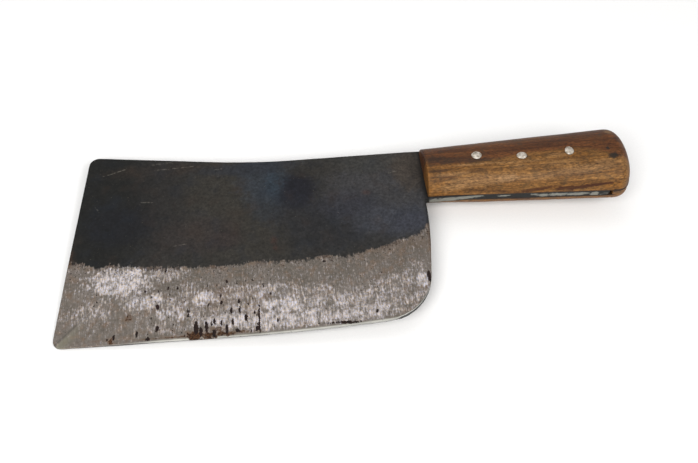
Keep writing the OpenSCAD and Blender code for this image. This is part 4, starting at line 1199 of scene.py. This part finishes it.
def rivetTree():
    # a peened rivet: a hammered head on each of the mesh's two points, and the shank between them
    blows = ["Blow " + str(k + 1) for k in range(rivet["blows"])]
    tree, given = newTree("peenedRivet", {
        "Float": [
            "Head Radius", "Crown", "Seat Depth", "Shank Radius", "Shank Length", "Hammering",
            "Hammer Mark", "Seed"],
        "Vector": ["Middle", "Oval", *blows],
    })
    ball = put(tree, "GeometryNodeMeshUVSphere", links={"Segments": 56, "Rings": 28, "Radius": 1.0})
    place = put(tree, "GeometryNodeInputPosition")
    x, y, z = list(put(tree, "ShaderNodeSeparateXYZ", links={0: place}).node.outputs)
    # every hammer blow cuts a flat off the dome
    spot = put(tree, "ShaderNodeCombineXYZ", links={0: x, 1: y, 2: 1.0})
    for name in blows:
        flat = put(tree, "ShaderNodeVectorMath", {"operation": "DOT_PRODUCT"}, {
            0: spot, 1: given[name]}).node.outputs["Value"]
        z = put(tree, "ShaderNodeMath", {"operation": "MINIMUM"}, {0: z, 1: flat})
    top = put(tree, "ShaderNodeMath", {"operation": "MAXIMUM"}, {0: z, 1: 0.0})
    top = put(tree, "ShaderNodeMath", {"operation": "MULTIPLY"}, {0: top, 1: given["Crown"]})
    under = put(tree, "ShaderNodeMath", {"operation": "MINIMUM"}, {0: z, 1: 0.0})
    under = put(tree, "ShaderNodeMath", {"operation": "MULTIPLY"}, {0: under, 1: given["Seat Depth"]})
    tall = put(tree, "ShaderNodeMath", {"operation": "ADD"}, {0: top, 1: under})
    x = put(tree, "ShaderNodeMath", {"operation": "MULTIPLY"}, {0: x, 1: given["Head Radius"]})
    y = put(tree, "ShaderNodeMath", {"operation": "MULTIPLY"}, {0: y, 1: given["Head Radius"]})
    head = put(tree, "GeometryNodeSetPosition", links={
        "Geometry": ball, "Position": put(tree, "ShaderNodeCombineXYZ", links={0: x, 1: y, 2: tall})})
    # the second point's head looks down
    index = put(tree, "GeometryNodeInputIndex")
    over = put(tree, "ShaderNodeMath", {"operation": "MULTIPLY"}, {0: index, 1: math.pi})
    heads = put(tree, "GeometryNodeInstanceOnPoints", links={
        "Points": given["Geometry"], "Instance": head, "Scale": given["Oval"],
        "Rotation": put(tree, "ShaderNodeCombineXYZ", links={0: over})})
    shank = put(tree, "GeometryNodeMeshCylinder", links={
        "Vertices": 40, "Radius": given["Shank Radius"], "Depth": given["Shank Length"]})
    shank = put(tree, "GeometryNodeTransform", links={"Geometry": shank, "Translation": given["Middle"]})
    heads = put(tree, "GeometryNodeRealizeInstances", links={"Geometry": heads})
    # hammer blows: flats and dents, of different depth on each head
    blow = put(tree, "ShaderNodeMath", {"operation": "DIVIDE"}, {0: 1.0, 1: given["Hammer Mark"]})
    dent = put(tree, "ShaderNodeTexNoise", {"noise_dimensions": "4D"}, {
        "Vector": place, "W": given["Seed"], "Scale": blow, "Detail": 1.5})
    dent = put(tree, "ShaderNodeMath", {"operation": "SUBTRACT"}, {0: dent, 1: 0.62})
    dent = put(tree, "ShaderNodeMath", {"operation": "MULTIPLY"}, {0: dent, 1: given["Hammering"]})
    offset = put(tree, "ShaderNodeVectorMath", {"operation": "SCALE"}, {
        0: put(tree, "GeometryNodeInputNormal"), "Scale": dent})
    heads = put(tree, "GeometryNodeSetPosition", links={"Geometry": heads, "Offset": offset})
    both = put(tree, "GeometryNodeJoinGeometry")
    tree.links.new(heads, both.node.inputs[0])
    tree.links.new(shank, both.node.inputs[0])
    made = put(tree, "GeometryNodeRealizeInstances", links={"Geometry": both})
    made = put(tree, "GeometryNodeSetMaterial", links={"Geometry": made, "Material": given["Material"]})
    put(tree, "NodeGroupOutput", links={"Geometry": made})
    return tree


# Noise patterns of the rivets, in the same way as the steel's; peening grain is 0.1 mm and drawn as 0.3 mm
rivetPatterns = {
    "dirt": ((1.7, 1.7, 1.7), (0, 0, 0), 3.0, 0.55, 0.0),
    "fine": ((0.3, 0.3, 0.3), (0, 0, 0), 2.0, 0.5, 0.0),
}

# from the dirt in the dents to the flats
rivetTones = [(0.32, "#958c7e"), (0.47, "#c4baac"), (0.62, "#ded6cb")]


def peenedAluminium():
    # Soft aluminium pins, peened cold: silvery white hammer flats, with warm grey dirt in the dents
    material, tree = newMaterial("peenedAluminium")
    _, _, (dirt, fine) = knifePatterns(tree, (), rivetPatterns)
    tone = put(tree, "ShaderNodeValToRGB", {"stops": rivetTones}, {"Fac": dirt})
    rough = put(tree, "ShaderNodeMapRange", links={"Value": dirt, "To Min": 0.7, "To Max": 0.5})
    bump = put(tree, "ShaderNodeBump", links={"Height": fine, "Strength": 0.3, "Distance": 0.05 * mm})
    shader = put(tree, "ShaderNodeBsdfPrincipled", links={
        "Base Color": tone, "Metallic": 1.0, "Roughness": rough, "Normal": bump})
    put(tree, "ShaderNodeOutputMaterial", links={"Surface": shader})
    return material


def hammerBlows(seed):  # the flats on a head, as planes over its circle: slopes along x and y, and height
    rng = random.Random(seed)
    planes = {}
    for k in range(rivet["blows"]):
        turn = 2 * math.pi * (k + rng.uniform(-0.3, 0.3)) / (rivet["blows"] - 1)
        tilt = math.radians(rng.uniform(*rivet["blowTilt"]) if k else rng.uniform(2, 10))
        depth = rng.uniform(*rivet["blowDepth"]) if k else rivet["topDepth"]
        planes["Blow " + str(k + 1)] = (
            -math.tan(tilt) * math.cos(turn), -math.tan(tilt) * math.sin(turn), depth / math.cos(tilt))
    return planes


def makeRivets(material):
    tree = rivetTree()
    for seed, (node, (x, y)) in enumerate(rivets.items()):
        top = woodHeight(x, y)
        long, broad, shift = headOvals[node]
        ends = helperMesh("ends", [(x + shift, y, top), (x + shift, y, -top)])
        piece = grown("peened_" + node, ends, tree, {
            "Head Radius": rivet["headRadius"], "Crown": rivet["crown"], "Seat Depth": rivet["seatDepth"],
            "Shank Radius": rivet["shankRadius"], "Shank Length": 2 * (top - rivet["seatDepth"] / 2),
            "Hammering": rivet["hammering"] * 2, "Hammer Mark": rivet["hammerMark"], "Seed": 3.0 + seed * 5.7,
            "Middle": (x, y, 0.0), "Oval": (long, broad, 1.0), "Material": material, **hammerBlows(seed + 4),
        })
        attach(piece, "root")
        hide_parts(node)


makeRivets(peenedAluminium())
